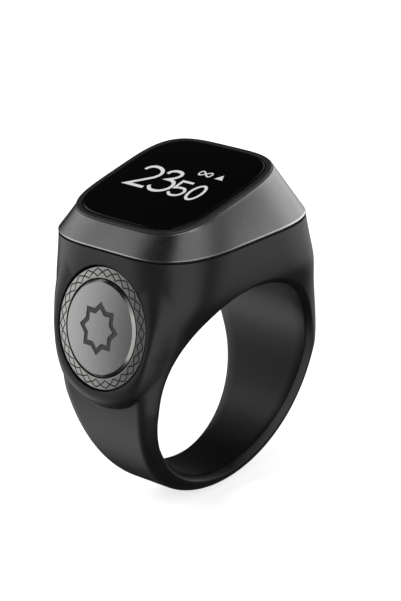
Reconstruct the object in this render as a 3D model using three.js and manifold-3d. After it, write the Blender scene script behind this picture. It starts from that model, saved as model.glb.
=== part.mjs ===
// Smart counter ring: a moulded finger ring whose head carries a tilted square display,
// with a round count button in the band's left shoulder.
// Millimetres. The origin is the centre of the finger bore, +Y runs along the finger,
// +Z points to the display and the button faces -X.
import * as THREE from "three";
import { mergeVertices } from "three/addons/utils/BufferGeometryUtils.js";
import Module from "manifold-3d";

const wasm = await Module();
wasm.setup();

// Finger bore and band
const BORE_RADIUS = 10;
const BAND_WALL = 1.78;
const BAND_HALF_WIDTH = 6.07;
const BAND_FOOT_HALF_WIDTH = 3.48;
const BAND_EDGE_RADIUS = 1.65;
const BAND_FLARE = 0.1;
const LIP_WIDTH = 0.48;
const LIP_DEPTH = 0.61;

// Head of the ring, from the bore up to the seam under the bezel
const HEAD_RISE = 4.66;
const HEAD_HALF_LENGTH = 10.07;
const HEAD_HALF_WIDTH = 9.78;
const HEAD_FLAT = 2;
const HEAD_CORNER_POWER = 2.92;
const HEAD_WALL = 1.1;
const BORE_FLOOR = 1;
// Share of the head's height, share of the flare from band to head, and its slope there
const DEPTH_FLARE = [
  [0, 0, 0.98],
  [0.525, 0.628, 1.7],
  [0.737, 0.951, 0.59],
  [1, 1, 0],
];

// Bezel: a wedge from the seam to the tilted display
const SEAM_GAP = 0.14;
const DISPLAY_TILT = 12.68;
const DISPLAY_HEIGHT = 3.94;
const DISPLAY_SHIFT = -0.76;
const RIM_HALF_LENGTH = 7.88;
const RIM_HALF_WIDTH = 8.09;
const RIM_POWER = 4.01;
const RIM_DROP = 0.12;
const RIM_EDGE = 0.08;
const BEZEL_CHAMFER = 0.15;
const SPIGOT_WALL = 0.62;
const SPIGOT_DEPTH = 0.7;
const BEZEL_HOLLOW = 0.85;

// Window and display stack, measured square to the display
const FRAME_PROUD = 0.1;
const FRAME_EDGE = 0.12;
const GLASS_HALF_LENGTH = 7.24;
const GLASS_HALF_WIDTH = 7.35;
const GLASS_POWER = 4.12;
const GLASS_THICKNESS = 0.9;
const GLASS_PROUD = 0.2;
const GLASS_EDGE = 0.22;
const ADHESIVE_THICKNESS = 0.1;
const LEDGE_WIDTH = 0.5;
const PANEL_HALF_SIZE = 5.8;
const PANEL_THICKNESS = 1.15;
const PANEL_CORNER = 0.4;
const TRAY_HALF_SIZE = 5.95;
const TRAY_WALL = 1;
const TRAY_CORNER = 2.2;
const TRAY_INNER_CORNER = 0.3;

// Main board and what is soldered to it, placed from the display's middle
const BOARD_THICKNESS = 0.6;
const PROCESSOR = { x: -3.1, y: 1.75, length: 3.4, width: 3.6, height: 0.7 };
const CHARGER = { x: -2.2, y: -3.4, length: 1.8, width: 2, height: 0.55 };
const MOTION_SENSOR = { x: 3.8, y: -3.9, length: 1.8, width: 1.8, height: 0.6 };
const CRYSTAL = { x: -3.4, y: 4.3, length: 2, width: 1.1, height: 0.5 };
const ANTENNA = { x: 2.6, y: 4.2, length: 3.2, width: 1.1, height: 0.6 };
const CONNECTOR = { x: -3.75, y: -3, length: 0.9, width: 3.6, height: 0.55 };

// Battery, its bay in the shell and the ribbons beside it
const BAY_CORNER = 2.2;
const BAY_FLOOR = 10.3;
const BATTERY_LENGTH = 12.8;
const BATTERY_WIDTH = 14.4;
const BATTERY_THICKNESS = 1.9;
const BATTERY_CORNER = 0.6;
const PAD_LENGTH = 8.5;
const PAD_WIDTH = 9.6;
const PAD_THICKNESS = 0.09;
const PROTECTION_THICKNESS = 0.6;
const PROTECTION_WIDTH = 8;
const PROTECTION_HEIGHT = 1.6;
const FLEX_THICKNESS = 0.12;
const FLEX_BEND = 0.25;
// Opening from the button's slot to the battery bay, from the slot's inner end
const FLEX_PASSAGE = { outward: 0.7, below: 0.65, above: 0.85 };

// Button, measured square to its face from the face of its ring
const BUTTON_TILT = 14.1;
const BUTTON_STAND = 2.8;
const BUTTON_RISE = 4.59;
const BUTTON_TRAVEL = 0.35;
const RING_RADIUS = 5.78;
const RING_BORE = 4.67;
const RING_THICKNESS = 0.75;
const CAP_RADIUS = 4.55;
const CAP_PROUD = 0.15;
const CAP_BEVEL = { width: 0.35, depth: 0.3 };
const CAP_FLANGE_RADIUS = 5.05;
const CAP_FLANGE_THICKNESS = 0.3;
const NUB_RADIUS = 0.9;
const NUB_HEIGHT = 0.2;
const SEAL_INNER_RADIUS = 4.2;
const SEAL_THICKNESS = 0.4;
const SWITCH_SIZE = 3;
const SWITCH_HEIGHT = 0.5;
const SWITCH_BASE = 0.1;
const PLUNGER_RADIUS = 0.75;
const BUTTON_FLEX_RISE = 4.29;

// Boss round the button: flush with the button's face out to one radius, then down to the skin
const BOSS_FACE_RADIUS = 6.2;
const BOSS_FOOT_DEPTH = 0.6;
const BOSS_STEPS = [1, 0.9, 0.75, 0.55, 0.3, 0];
// Angle from the button's top, radius at which the boss meets the skin, and how gently it does
const BOSS_REACH = [
  [0, 8.6, 2],
  [60, 8.6, 2],
  [75, 8.2, 2],
  [90, 7.5, 2],
  [105, 7.25, 1.8],
  [120, 7.4, 1.2],
  [140, 7.6, 0.75],
  [180, 7.6, 0.75],
];

// Vibration motor
const MOTOR_RADIUS = 3;
const MOTOR_HEIGHT = 1.95;
const MOTOR_WALL = 0.15;
const MOTOR_PLACE = 1.81;
const MOTOR_SHAFT_RADIUS = 0.25;
const ROTOR_RADIUS = 2.5;
const ROTOR_HUB_RADIUS = 1;
const ROTOR_HALF_ANGLE = 100;
const ROTOR_THICKNESS = 0.9;

// Charging contacts in the roof of the bore
const CONTACT_RADIUS = 0.85;
const CONTACT_SPACING = 4.4;
const CONTACT_PROUD = 0.05;
const CHARGE_FLEX_WIDTH = 2.4;

// Screws that hold the main board
const SCREW_RADIUS = 0.42;
const SCREW_HEAD_RADIUS = 0.65;
const SCREW_HEAD_HEIGHT = 0.35;
const SCREW_HEAD_BEVEL = 0.12;
const SCREW_TIP_BEVEL = 0.1;
const SCREW_LENGTH = 1.5;
const SCREW_SIDE = 4;
const SCREW_WALL = 0.28;

// Clearances, and how far a cutting shape runs past what it cuts
const SEAT_GAP = 0.03;
const SLIP_GAP = 0.1;
const OVERCUT = 1;

// Mesh fineness
const QUARTER_STEPS = 10;
const BAND_STEPS = 18;
const SIDE_STEPS = 8;
const FRONT_STEPS = 6;
const FLANK_STEPS = 2;
const LEAST_ANGLE = 0.01;
const BORE_SEGMENTS = 72;
const RING_SEGMENTS = 60;
const ROUND_SEGMENTS = 40;
const SMALL_SEGMENTS = 20;

// Heights and places that follow from the sizes above
const SHELL_TOP = BORE_RADIUS + HEAD_RISE;
const BEZEL_BASE = SHELL_TOP + SEAM_GAP;
const BAND_RADIUS = BORE_RADIUS + BAND_WALL;
const FLOOR_RADIUS = BORE_RADIUS + BORE_FLOOR;
const HEAD_CORNER_LENGTH = HEAD_HALF_LENGTH - HEAD_FLAT;
const HEAD_CORNER_WIDTH = HEAD_HALF_WIDTH - HEAD_FLAT;
const CONTACT_FLEX_HEIGHT = FLOOR_RADIUS + SEAT_GAP;
const BATTERY_HEIGHT = CONTACT_FLEX_HEIGHT + FLEX_THICKNESS + SLIP_GAP;
const BATTERY_TOP = BATTERY_HEIGHT + BATTERY_THICKNESS;
const PAD_HEIGHT = BATTERY_TOP + SEAT_GAP;
const SHELF_HEIGHT = PAD_HEIGHT + PAD_THICKNESS + SEAT_GAP;
const BOARD_HEIGHT = SHELF_HEIGHT + SEAT_GAP;
const BOARD_TOP = BOARD_HEIGHT + BOARD_THICKNESS;
const PART_HEIGHT = BOARD_TOP + SEAT_GAP;
const GLASS_BOTTOM = GLASS_PROUD - GLASS_THICKNESS;
const SPIGOT_INSET = HEAD_WALL + SLIP_GAP;
const SCREW_REACH = HEAD_HALF_LENGTH - SPIGOT_INSET - SPIGOT_WALL - SCREW_HEAD_RADIUS - 2 * SLIP_GAP;
const BAY_LEFT = SCREW_RADIUS + SEAT_GAP + SCREW_WALL - SCREW_REACH;
const BATTERY_LEFT = BAY_LEFT + 2 * FLEX_THICKNESS + 3 * SLIP_GAP;
const BATTERY_RIGHT = BATTERY_LEFT + BATTERY_LENGTH;
const BATTERY_CENTRE = (BATTERY_LEFT + BATTERY_RIGHT) / 2;
const PROTECTION_LEFT = BATTERY_RIGHT + SLIP_GAP;
const BAY_RIGHT = PROTECTION_LEFT + PROTECTION_THICKNESS + 2 * SLIP_GAP;
const CHARGE_FLEX_SIDE = BATTERY_WIDTH / 2 + 3 * SLIP_GAP;
const BAY_HALF_WIDTH = CHARGE_FLEX_SIDE + FLEX_THICKNESS + 3 * SLIP_GAP;
const LEDGE_HEIGHT = GLASS_BOTTOM - ADHESIVE_THICKNESS - 2 * SEAT_GAP;
const PANEL_TOP = GLASS_BOTTOM - SEAT_GAP;
const PANEL_BOTTOM = PANEL_TOP - PANEL_THICKNESS;
const RING_FLOOR = -RING_THICKNESS - SEAT_GAP;
const FLANGE_TOP = -RING_THICKNESS - SLIP_GAP;
const FLANGE_BOTTOM = FLANGE_TOP - CAP_FLANGE_THICKNESS;
const SEAL_TOP = FLANGE_BOTTOM - BUTTON_TRAVEL - SEAT_GAP;
const FLANGE_FLOOR = SEAL_TOP - SEAL_THICKNESS - SEAT_GAP;
const PLUNGER_TOP = FLANGE_BOTTOM - NUB_HEIGHT - SEAT_GAP;
const SWITCH_TOP = PLUNGER_TOP - BUTTON_TRAVEL - SEAT_GAP;
const SWITCH_BOTTOM = SWITCH_TOP - SWITCH_HEIGHT;
const SWITCH_FLEX = SWITCH_BOTTOM - SEAT_GAP - FLEX_THICKNESS / 2;
const SWITCH_FLOOR = SWITCH_FLEX - FLEX_THICKNESS / 2 - SEAT_GAP;

const radians = THREE.MathUtils.degToRad;

// Groups: the tilted display and the tilted button each have their own frame.
const displayTilt = radians(DISPLAY_TILT);
const displayHeight = BEZEL_BASE + DISPLAY_HEIGHT + DISPLAY_SHIFT * Math.tan(displayTilt);
const displayFrame = new THREE.Matrix4()
  .makeTranslation(DISPLAY_SHIFT, 0, displayHeight)
  .multiply(new THREE.Matrix4().makeRotationY(-displayTilt));

const buttonTilt = radians(BUTTON_TILT);
const buttonDistance = BORE_RADIUS + BUTTON_STAND;
const buttonNormal = new THREE.Vector3(-Math.cos(buttonTilt), 0, Math.sin(buttonTilt));
const buttonUp = new THREE.Vector3(Math.sin(buttonTilt), 0, Math.cos(buttonTilt));
const buttonCentre = buttonNormal
  .clone()
  .multiplyScalar(buttonDistance)
  .addScaledVector(buttonUp, BUTTON_RISE);
const buttonFrame = new THREE.Matrix4()
  .makeTranslation(buttonCentre.x, buttonCentre.y, buttonCentre.z)
  .multiply(new THREE.Matrix4().makeRotationY(buttonTilt - Math.PI / 2));

// Solids and meshes

function solidFrom(geometry) {
  const bare = geometry.index ? geometry.toNonIndexed() : geometry.clone();
  bare.deleteAttribute("normal");
  bare.deleteAttribute("uv");
  const merged = mergeVertices(bare, 1e-4);
  return new wasm.Manifold(
    new wasm.Mesh({
      numProp: 3,
      vertProperties: new Float32Array(merged.attributes.position.array),
      triVerts: new Uint32Array(merged.index.array),
    }),
  );
}

function geometryFrom(solid) {
  const mesh = solid.getMesh();
  const geometry = new THREE.BufferGeometry();
  geometry.setAttribute("position", new THREE.BufferAttribute(mesh.vertProperties, 3));
  geometry.setIndex(new THREE.BufferAttribute(mesh.triVerts, 1));
  geometry.computeVertexNormals();
  return geometry;
}

function cut(geometry, cutters) {
  let solid = solidFrom(geometry);
  for (const cutter of cutters) {
    solid = solid.subtract(solidFrom(cutter));
  }
  return geometryFrom(solid);
}

function join(geometries) {
  let solid = solidFrom(geometries[0]);
  for (const geometry of geometries.slice(1)) {
    solid = solid.add(solidFrom(geometry));
  }
  return geometryFrom(solid);
}

function mix(a, b, share) {
  return a + (b - a) * share;
}

// Cubic through two values with a slope at each, for a share from 0 to 1 of the span
function hermite(share, start, end, startSlope, endSlope) {
  const squared = share * share;
  const cubed = squared * share;
  return (
    (2 * cubed - 3 * squared + 1) * start +
    (cubed - 2 * squared + share) * startSlope +
    (3 * squared - 2 * cubed) * end +
    (cubed - squared) * endSlope
  );
}

// Points at equal distances along a polyline, its ends included
function evenPoints(points, steps) {
  const lengths = [0];
  for (let i = 1; i < points.length; i += 1) {
    lengths.push(lengths[i - 1] + points[i].distanceTo(points[i - 1]));
  }
  const result = [];
  let at = 1;
  for (let k = 0; k <= steps; k += 1) {
    const wanted = (lengths.at(-1) * k) / steps;
    while (at < points.length - 1 && lengths[at] < wanted) {
      at += 1;
    }
    const span = lengths[at] - lengths[at - 1] || 1;
    const share = (wanted - lengths[at - 1]) / span;
    result.push(points[at - 1].clone().lerp(points[at], share));
  }
  return result;
}

// One quarter of a soft-cornered rectangle, from the +X side round to the +Y side
function quarterOutline(halfX, halfY, cornerX, cornerY, power) {
  const fine = 48;
  const points = [new THREE.Vector2(halfX, 0)];
  for (let i = 0; i <= fine; i += 1) {
    const angle = (i / fine) * (Math.PI / 2);
    const cos = Math.max(Math.cos(angle), 0);
    const sin = Math.sin(angle);
    const reach = (cos ** power + sin ** power) ** (-1 / power);
    const x = halfX - cornerX + cornerX * reach * cos;
    const y = halfY - cornerY + cornerY * reach * sin;
    points.push(new THREE.Vector2(x, y));
  }
  points.push(new THREE.Vector2(0, halfY));
  return points;
}

function outline(halfX, halfY, cornerX, cornerY, power, steps = QUARTER_STEPS) {
  const quarter = evenPoints(quarterOutline(halfX, halfY, cornerX, cornerY, power), steps);
  const right = quarter.slice(0, -1);
  const left = quarter.slice(1).reverse();
  return [
    ...right,
    ...left.map((p) => new THREE.Vector2(-p.x, p.y)),
    ...right.map((p) => new THREE.Vector2(-p.x, -p.y)),
    ...left.map((p) => new THREE.Vector2(p.x, -p.y)),
  ];
}

function roundedRectangle(halfX, halfY, corner, steps = 4) {
  return outline(halfX, halfY, corner, corner, 2, steps);
}

function headOutline(inset) {
  return outline(
    HEAD_HALF_LENGTH - inset,
    HEAD_HALF_WIDTH - inset,
    HEAD_CORNER_LENGTH - inset,
    HEAD_CORNER_WIDTH - inset,
    HEAD_CORNER_POWER,
  );
}

function lifted(points, height) {
  return points.map((p) => new THREE.Vector3(p.x, p.y, height));
}

// A closed skin through rings of points, listed from the bottom up, with flat ends
function loft(rings) {
  const count = rings[0].length;
  const positions = rings.flat().flatMap((p) => [p.x, p.y, p.z]);
  const index = [];
  for (let r = 0; r + 1 < rings.length; r += 1) {
    for (let i = 0; i < count; i += 1) {
      const a = r * count + i;
      const b = r * count + ((i + 1) % count);
      index.push(a, b, b + count, a, b + count, a + count);
    }
  }
  const ends = [rings[0], rings.at(-1)];
  ends.forEach((ring, end) => {
    const centre = positions.length / 3;
    const middle = ring.reduce((sum, p) => sum.add(p), new THREE.Vector3());
    positions.push(...middle.divideScalar(count).toArray());
    const base = end * (rings.length - 1) * count;
    for (let i = 0; i < count; i += 1) {
      const a = base + i;
      const b = base + ((i + 1) % count);
      index.push(...(end ? [a, b, centre] : [b, a, centre]));
    }
  });
  const geometry = new THREE.BufferGeometry();
  geometry.setAttribute("position", new THREE.Float32BufferAttribute(positions, 3));
  geometry.setIndex(index);
  geometry.computeVertexNormals();
  return geometry;
}

function prism(points, bottom, top) {
  return loft([lifted(points, bottom), lifted(points, top)]);
}

function block(x, y, z) {
  const geometry = new THREE.BoxGeometry(x[1] - x[0], y[1] - y[0], z[1] - z[0]);
  return geometry.translate((x[0] + x[1]) / 2, (y[0] + y[1]) / 2, (z[0] + z[1]) / 2);
}

// A turned solid about Z; the profile lists [radius, height] from the bottom of the axis up
function turned(profile, segments = ROUND_SEGMENTS) {
  const points = profile.map(([radius, height]) => new THREE.Vector2(radius, height));
  return new THREE.LatheGeometry(points, segments).rotateX(Math.PI / 2);
}

function disc(radius, bottom, top, segments = ROUND_SEGMENTS) {
  return turned([[0, bottom], [radius, bottom], [radius, top], [0, top]], segments);
}

function washer(inner, outer, bottom, top, segments = ROUND_SEGMENTS) {
  const section = [[inner, bottom], [outer, bottom], [outer, top], [inner, top], [inner, bottom]];
  return turned(section, segments);
}

// A route whose sharp corners are each cut off at the same distance along both legs
function softened(route, bend) {
  return route.flatMap((corner, i) => {
    if (i === 0 || i === route.length - 1) {
      return [corner];
    }
    return [route[i - 1], route[i + 1]].map((other) => {
      const share = Math.min(bend / corner.distanceTo(other), 0.5);
      return corner.clone().lerp(other, share);
    });
  });
}

// A flat ribbon of the given width along Y whose route is drawn in X and Z
function ribbon(route, width) {
  const corners = route.map(([x, z]) => new THREE.Vector2(x, z));
  const points = softened(corners, FLEX_BEND);
  const sides = [[], []];
  points.forEach((p, i) => {
    const into = p.clone().sub(points[i - 1] ?? p).normalize();
    const out = (points[i + 1] ?? p).clone().sub(p).normalize();
    const along = into.clone().add(out).normalize();
    const reach = FLEX_THICKNESS / 2 / Math.max(along.dot(into), along.dot(out));
    const offset = new THREE.Vector2(-along.y, along.x).multiplyScalar(reach);
    sides[0].push(p.clone().add(offset));
    sides[1].push(p.clone().sub(offset));
  });
  const shape = new THREE.Shape([...sides[0], ...sides[1].reverse()]);
  const geometry = new THREE.ExtrudeGeometry(shape, { depth: width, bevelEnabled: false });
  return geometry.rotateX(Math.PI / 2).translate(0, width / 2, 0);
}

function placed(geometry, frame) {
  return geometry.applyMatrix4(frame);
}

const counterRing = new THREE.Group();
const display = new THREE.Group();
const button = new THREE.Group();
display.applyMatrix4(displayFrame);
button.applyMatrix4(buttonFrame);
counterRing.add(display, button);

function finish(color, roughness, metalness) {
  return new THREE.MeshStandardMaterial({ color, roughness, metalness });
}

const finishes = {
  shell: finish(0x2b2b2c, 0.48, 0),
  bezel: finish(0x6a6b6c, 0.3, 1),
  rubber: finish(0x0d0d0e, 0.8, 0),
  frame: finish(0x1e1e1f, 0.4, 0),
  glass: finish(0x050506, 0.05, 0),
  panel: finish(0x101216, 0.25, 0),
  flex: finish(0x9a5a1e, 0.5, 0),
  tray: finish(0x1b1b1d, 0.6, 0),
  board: finish(0x14502c, 0.5, 0),
  chip: finish(0x18181a, 0.6, 0),
  ceramic: finish(0xd8d4c8, 0.5, 0),
  connector: finish(0xe4dfd0, 0.55, 0),
  cell: finish(0xb9bcc0, 0.35, 0.7),
  foam: finish(0x2a2a2a, 0.95, 0),
  contact: finish(0xd0a648, 0.25, 1),
  motor: finish(0xa9abad, 0.3, 1),
  weight: finish(0x5c5f63, 0.4, 1),
  buttonRing: finish(0x9b9c9d, 0.35, 1),
  buttonCap: finish(0x8f9091, 0.28, 1),
  silicone: finish(0x3a3a3c, 0.85, 0),
  housing: finish(0x222224, 0.6, 0),
  plunger: finish(0xd9d6cc, 0.5, 0),
  screw: finish(0x8c8e90, 0.35, 1),
};

function add(group, name, geometry, material) {
  const mesh = new THREE.Mesh(geometry, material);
  mesh.name = name;
  group.add(mesh);
  return mesh;
}

// Ring shell: its skin is a grid of rays from the bore's axis by points along the finger.

function bandRadius(dip) {
  return BAND_RADIUS * (1 - BAND_FLARE * dip * (1 - dip) ** 2);
}

function shoulderHalfLength(rise) {
  const slope = BAND_FLARE * SHELL_TOP;
  return hermite(rise, BAND_RADIUS, HEAD_HALF_LENGTH, slope, 0);
}

function shoulderHalfWidth(rise) {
  const next = Math.max(DEPTH_FLARE.findIndex(([at]) => at >= rise), 1);
  const [startAt, start, startSlope] = DEPTH_FLARE[next - 1];
  const [endAt, end, endSlope] = DEPTH_FLARE[next];
  const span = endAt - startAt;
  const share = hermite((rise - startAt) / span, start, end, startSlope * span, endSlope * span);
  return mix(BAND_HALF_WIDTH, HEAD_HALF_WIDTH, share);
}

// The section that a ray meets at a radius: half sizes, corner sizes and corner power
function sectionAt(angle, radius) {
  const sine = Math.sin(angle);
  if (sine < 0) {
    return {
      halfLength: bandRadius(-sine),
      halfWidth: mix(BAND_HALF_WIDTH, BAND_FOOT_HALF_WIDTH, -sine),
      cornerLength: BAND_EDGE_RADIUS,
      cornerWidth: BAND_EDGE_RADIUS,
      power: 2,
      reach: radius,
    };
  }
  const rise = Math.min((radius * sine) / SHELL_TOP, 1);
  const halfLength = shoulderHalfLength(rise);
  const halfWidth = shoulderHalfWidth(rise);
  return {
    halfLength,
    halfWidth,
    cornerLength: mix(BAND_EDGE_RADIUS, halfLength - HEAD_FLAT, rise),
    cornerWidth: mix(BAND_EDGE_RADIUS, halfWidth - HEAD_FLAT, rise),
    power: mix(2, HEAD_CORNER_POWER, rise),
    reach: Math.abs(radius * Math.cos(angle)),
  };
}

// How far the skin lies from the middle of the finger on a ray, at a radius
function skinDepth(angle, radius) {
  const s = sectionAt(angle, radius);
  const into = (s.reach - (s.halfLength - s.cornerLength)) / s.cornerLength;
  const share = Math.min(Math.max(into, 0), 1);
  const fall = (1 - share ** s.power) ** (1 / s.power);
  return s.halfWidth - s.cornerWidth * (1 - fall);
}

function skinRadius(angle) {
  const sine = Math.sin(angle);
  if (sine < 0) {
    return bandRadius(-sine);
  }
  const topRadius = SHELL_TOP / Math.max(sine, 1e-9);
  let radius = BAND_RADIUS;
  for (let i = 0; i < 60; i += 1) {
    const rise = Math.min((radius * sine) / SHELL_TOP, 1);
    radius = shoulderHalfLength(rise) / Math.max(Math.abs(Math.cos(angle)), 1e-9);
    radius = Math.min(radius, topRadius);
  }
  return radius;
}

function rayAngles() {
  const edge = outline(
    HEAD_HALF_LENGTH,
    HEAD_HALF_WIDTH,
    HEAD_CORNER_LENGTH,
    HEAD_CORNER_WIDTH,
    HEAD_CORNER_POWER,
    QUARTER_STEPS + 2,
  ).slice(0, QUARTER_STEPS + 3);
  const corner = Math.atan2(SHELL_TOP, HEAD_HALF_LENGTH);
  const angles = [];
  for (let i = 0; i < BAND_STEPS; i += 1) {
    angles.push(mix(-Math.PI / 2, 0, i / BAND_STEPS));
  }
  for (let i = 0; i < SIDE_STEPS; i += 1) {
    angles.push(mix(0, corner, i / SIDE_STEPS));
  }
  angles.push(corner);
  for (const point of edge) {
    const angle = Math.atan2(SHELL_TOP, point.x);
    if (angle > angles.at(-1) + LEAST_ANGLE) {
      angles.push(angle);
    }
  }
  const mirrored = angles.slice(1, -1).reverse();
  return [...angles, ...mirrored.map((angle) => Math.PI - angle)];
}

// One closed loop round the ring's wall on a ray, as [radius, depth] pairs
function wallLoop(angle) {
  const lip = BORE_RADIUS + LIP_WIDTH;
  const edge = skinRadius(angle);
  const fine = 60;
  const front = [];
  for (let i = 0; i <= fine; i += 1) {
    const radius = mix(lip, edge, Math.sin((i / fine) * (Math.PI / 2)));
    front.push(new THREE.Vector2(radius, -skinDepth(angle, radius)));
  }
  const half = evenPoints(front, FRONT_STEPS);
  for (let i = 1; i < FLANK_STEPS; i += 1) {
    half.push(new THREE.Vector2(edge, mix(half.at(FRONT_STEPS).y, 0, i / FLANK_STEPS)));
  }
  const middle = new THREE.Vector2(edge, 0);
  const back = [...half].reverse().map((p) => new THREE.Vector2(p.x, -p.y));
  const boreDepth = skinDepth(angle, lip) - LIP_DEPTH;
  const bore = [boreDepth, 0, -boreDepth].map((y) => new THREE.Vector2(BORE_RADIUS, y));
  return [...half, middle, ...back, ...bore];
}

function ringBlank() {
  const angles = rayAngles();
  const loops = angles.map(wallLoop);
  const count = loops[0].length;
  const positions = loops.flatMap((loop, i) =>
    loop.flatMap((p) => [p.x * Math.cos(angles[i]), p.y, p.x * Math.sin(angles[i])]),
  );
  const index = [];
  for (let i = 0; i < loops.length; i += 1) {
    const here = i * count;
    const next = ((i + 1) % loops.length) * count;
    for (let j = 0; j < count; j += 1) {
      const k = (j + 1) % count;
      index.push(here + j, next + k, next + j, here + j, here + k, next + k);
    }
  }
  const geometry = new THREE.BufferGeometry();
  geometry.setAttribute("position", new THREE.Float32BufferAttribute(positions, 3));
  geometry.setIndex(index);
  return geometry;
}

function insideSkin(point) {
  const angle = Math.atan2(point.z, point.x);
  const radius = Math.hypot(point.x, point.z);
  return radius <= skinRadius(angle) && Math.abs(point.y) <= skinDepth(angle, radius);
}

// Height of the skin over the plane of the button's face, at a place on that plane
function skinHeight(rise, side) {
  const at = (height) => new THREE.Vector3(rise, side, height).applyMatrix4(buttonFrame);
  let low = -HEAD_RISE;
  let high = OVERCUT;
  for (let i = 0; i < 24; i += 1) {
    const middle = (low + high) / 2;
    if (insideSkin(at(middle))) {
      low = middle;
    } else {
      high = middle;
    }
  }
  return low;
}

function bossReach(angle) {
  const next = Math.max(BOSS_REACH.findIndex(([at]) => at >= angle), 1);
  const [startAt, ...start] = BOSS_REACH[next - 1];
  const [endAt, ...end] = BOSS_REACH[next];
  const share = (angle - startAt) / (endAt - startAt);
  return start.map((value, i) => mix(value, end[i], share));
}

function bossRing(step, sink) {
  const points = [];
  for (let i = 0; i < RING_SEGMENTS; i += 1) {
    const angle = 360 * (i / RING_SEGMENTS);
    const [reach, gentleness] = bossReach(Math.min(angle, 360 - angle));
    const radius = mix(BOSS_FACE_RADIUS, reach, step);
    const rise = radius * Math.cos(radians(angle));
    const side = radius * Math.sin(radians(angle));
    const left = 1 - (1 - step * step) ** gentleness;
    points.push(new THREE.Vector3(rise, side, Math.min(skinHeight(rise, side), 0) * left - sink));
  }
  return points;
}

function buttonBoss() {
  const rings = BOSS_STEPS.map((step, i) => bossRing(step, i === 0 ? SEAT_GAP : 0));
  const boss = placed(loft([bossRing(1, BOSS_FOOT_DEPTH), ...rings]), buttonFrame);
  const far = 2 * SHELL_TOP;
  return cut(boss, [block([-far, 0], [-far, far], [SHELL_TOP - BEZEL_CHAMFER, far])]);
}

// A point of the button's middle plane, from its rise along the face and its height off the face
function buttonPoint(rise, height) {
  const point = new THREE.Vector3(rise, 0, height).applyMatrix4(buttonFrame);
  return [point.x, point.z];
}

const flexHalfWidth = SWITCH_SIZE / 2 + SLIP_GAP;

function buttonPocket() {
  return [
    disc(RING_RADIUS + SLIP_GAP, RING_FLOOR, OVERCUT),
    disc(CAP_FLANGE_RADIUS + SLIP_GAP, FLANGE_FLOOR, OVERCUT),
    block(
      [-flexHalfWidth, BUTTON_RISE],
      [-flexHalfWidth, flexHalfWidth],
      [SWITCH_FLOOR, RING_FLOOR + OVERCUT],
    ),
  ].map((cutter) => placed(cutter, buttonFrame));
}

function shellCavities() {
  const upper = prism(headOutline(HEAD_WALL), SHELF_HEIGHT, SHELL_TOP + OVERCUT);
  const bayOutline = roundedRectangle((BAY_RIGHT - BAY_LEFT) / 2, BAY_HALF_WIDTH, BAY_CORNER);
  const bay = prism(bayOutline, BAY_FLOOR, SHELF_HEIGHT + OVERCUT);
  bay.translate((BAY_RIGHT + BAY_LEFT) / 2, 0, 0);
  const roof = disc(FLOOR_RADIUS, -HEAD_HALF_WIDTH, HEAD_HALF_WIDTH, BORE_SEGMENTS);
  roof.rotateX(Math.PI / 2);
  const [slotEnd, slotHeight] = buttonPoint(BUTTON_RISE, SWITCH_FLOOR);
  const flexPassage = block(
    [slotEnd - FLEX_PASSAGE.outward, BAY_LEFT + FLEX_THICKNESS],
    [-flexHalfWidth, flexHalfWidth],
    [slotHeight - FLEX_PASSAGE.below, slotHeight + FLEX_PASSAGE.above],
  );
  return [upper, cut(bay, [roof]), flexPassage];
}

function contactHoles() {
  return [-1, 1].map((side) => {
    const radius = CONTACT_RADIUS + SEAT_GAP;
    const hole = disc(radius, BORE_RADIUS - OVERCUT, FLOOR_RADIUS + OVERCUT, SMALL_SEGMENTS);
    return hole.translate(0, (side * CONTACT_SPACING) / 2, 0);
  });
}

function screwHoles(radius, bottom, top) {
  return [-1, 1].map((side) => {
    const hole = disc(radius, bottom, top, SMALL_SEGMENTS);
    return hole.translate(-SCREW_REACH, side * SCREW_SIDE, 0);
  });
}

const shellGeometry = cut(join([ringBlank(), buttonBoss()]), [
  ...shellCavities(),
  ...buttonPocket(),
  ...contactHoles(),
  ...screwHoles(SCREW_RADIUS + SEAT_GAP, SHELF_HEIGHT - SCREW_LENGTH, SHELF_HEIGHT + OVERCUT),
]);
add(counterRing, "ring_shell", shellGeometry, finishes.shell);

// Bezel

function rimOutline(inset) {
  const halfX = RIM_HALF_LENGTH - inset;
  const halfY = RIM_HALF_WIDTH - inset;
  return outline(halfX, halfY, halfX, halfY, RIM_POWER);
}

function glassOutline(inset) {
  const halfX = GLASS_HALF_LENGTH - inset;
  const halfY = GLASS_HALF_WIDTH - inset;
  return outline(halfX, halfY, halfX, halfY, GLASS_POWER);
}

function tilted(points, height) {
  return lifted(points, height).map((p) => p.applyMatrix4(displayFrame));
}

function bezelGeometry() {
  const foot = lifted(headOutline(0), BEZEL_BASE + BEZEL_CHAMFER);
  const rim = tilted(rimOutline(0), -RIM_DROP - RIM_EDGE);
  const body = loft([
    lifted(headOutline(SPIGOT_INSET), BEZEL_BASE - SPIGOT_DEPTH),
    lifted(headOutline(SPIGOT_INSET), BEZEL_BASE),
    lifted(headOutline(BEZEL_CHAMFER), BEZEL_BASE),
    foot,
    rim,
    tilted(rimOutline(RIM_EDGE), -RIM_DROP),
  ]);
  const hollow = headOutline(SPIGOT_INSET + SPIGOT_WALL);
  return cut(body, [
    placed(prism(glassOutline(-SLIP_GAP), LEDGE_HEIGHT, OVERCUT), displayFrame),
    placed(prism(glassOutline(LEDGE_WIDTH), -DISPLAY_HEIGHT - HEAD_RISE, OVERCUT), displayFrame),
    prism(hollow, BEZEL_BASE - SPIGOT_DEPTH - OVERCUT, BEZEL_BASE + BEZEL_HOLLOW),
  ]);
}
add(counterRing, "bezel", bezelGeometry(), finishes.bezel);

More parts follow.
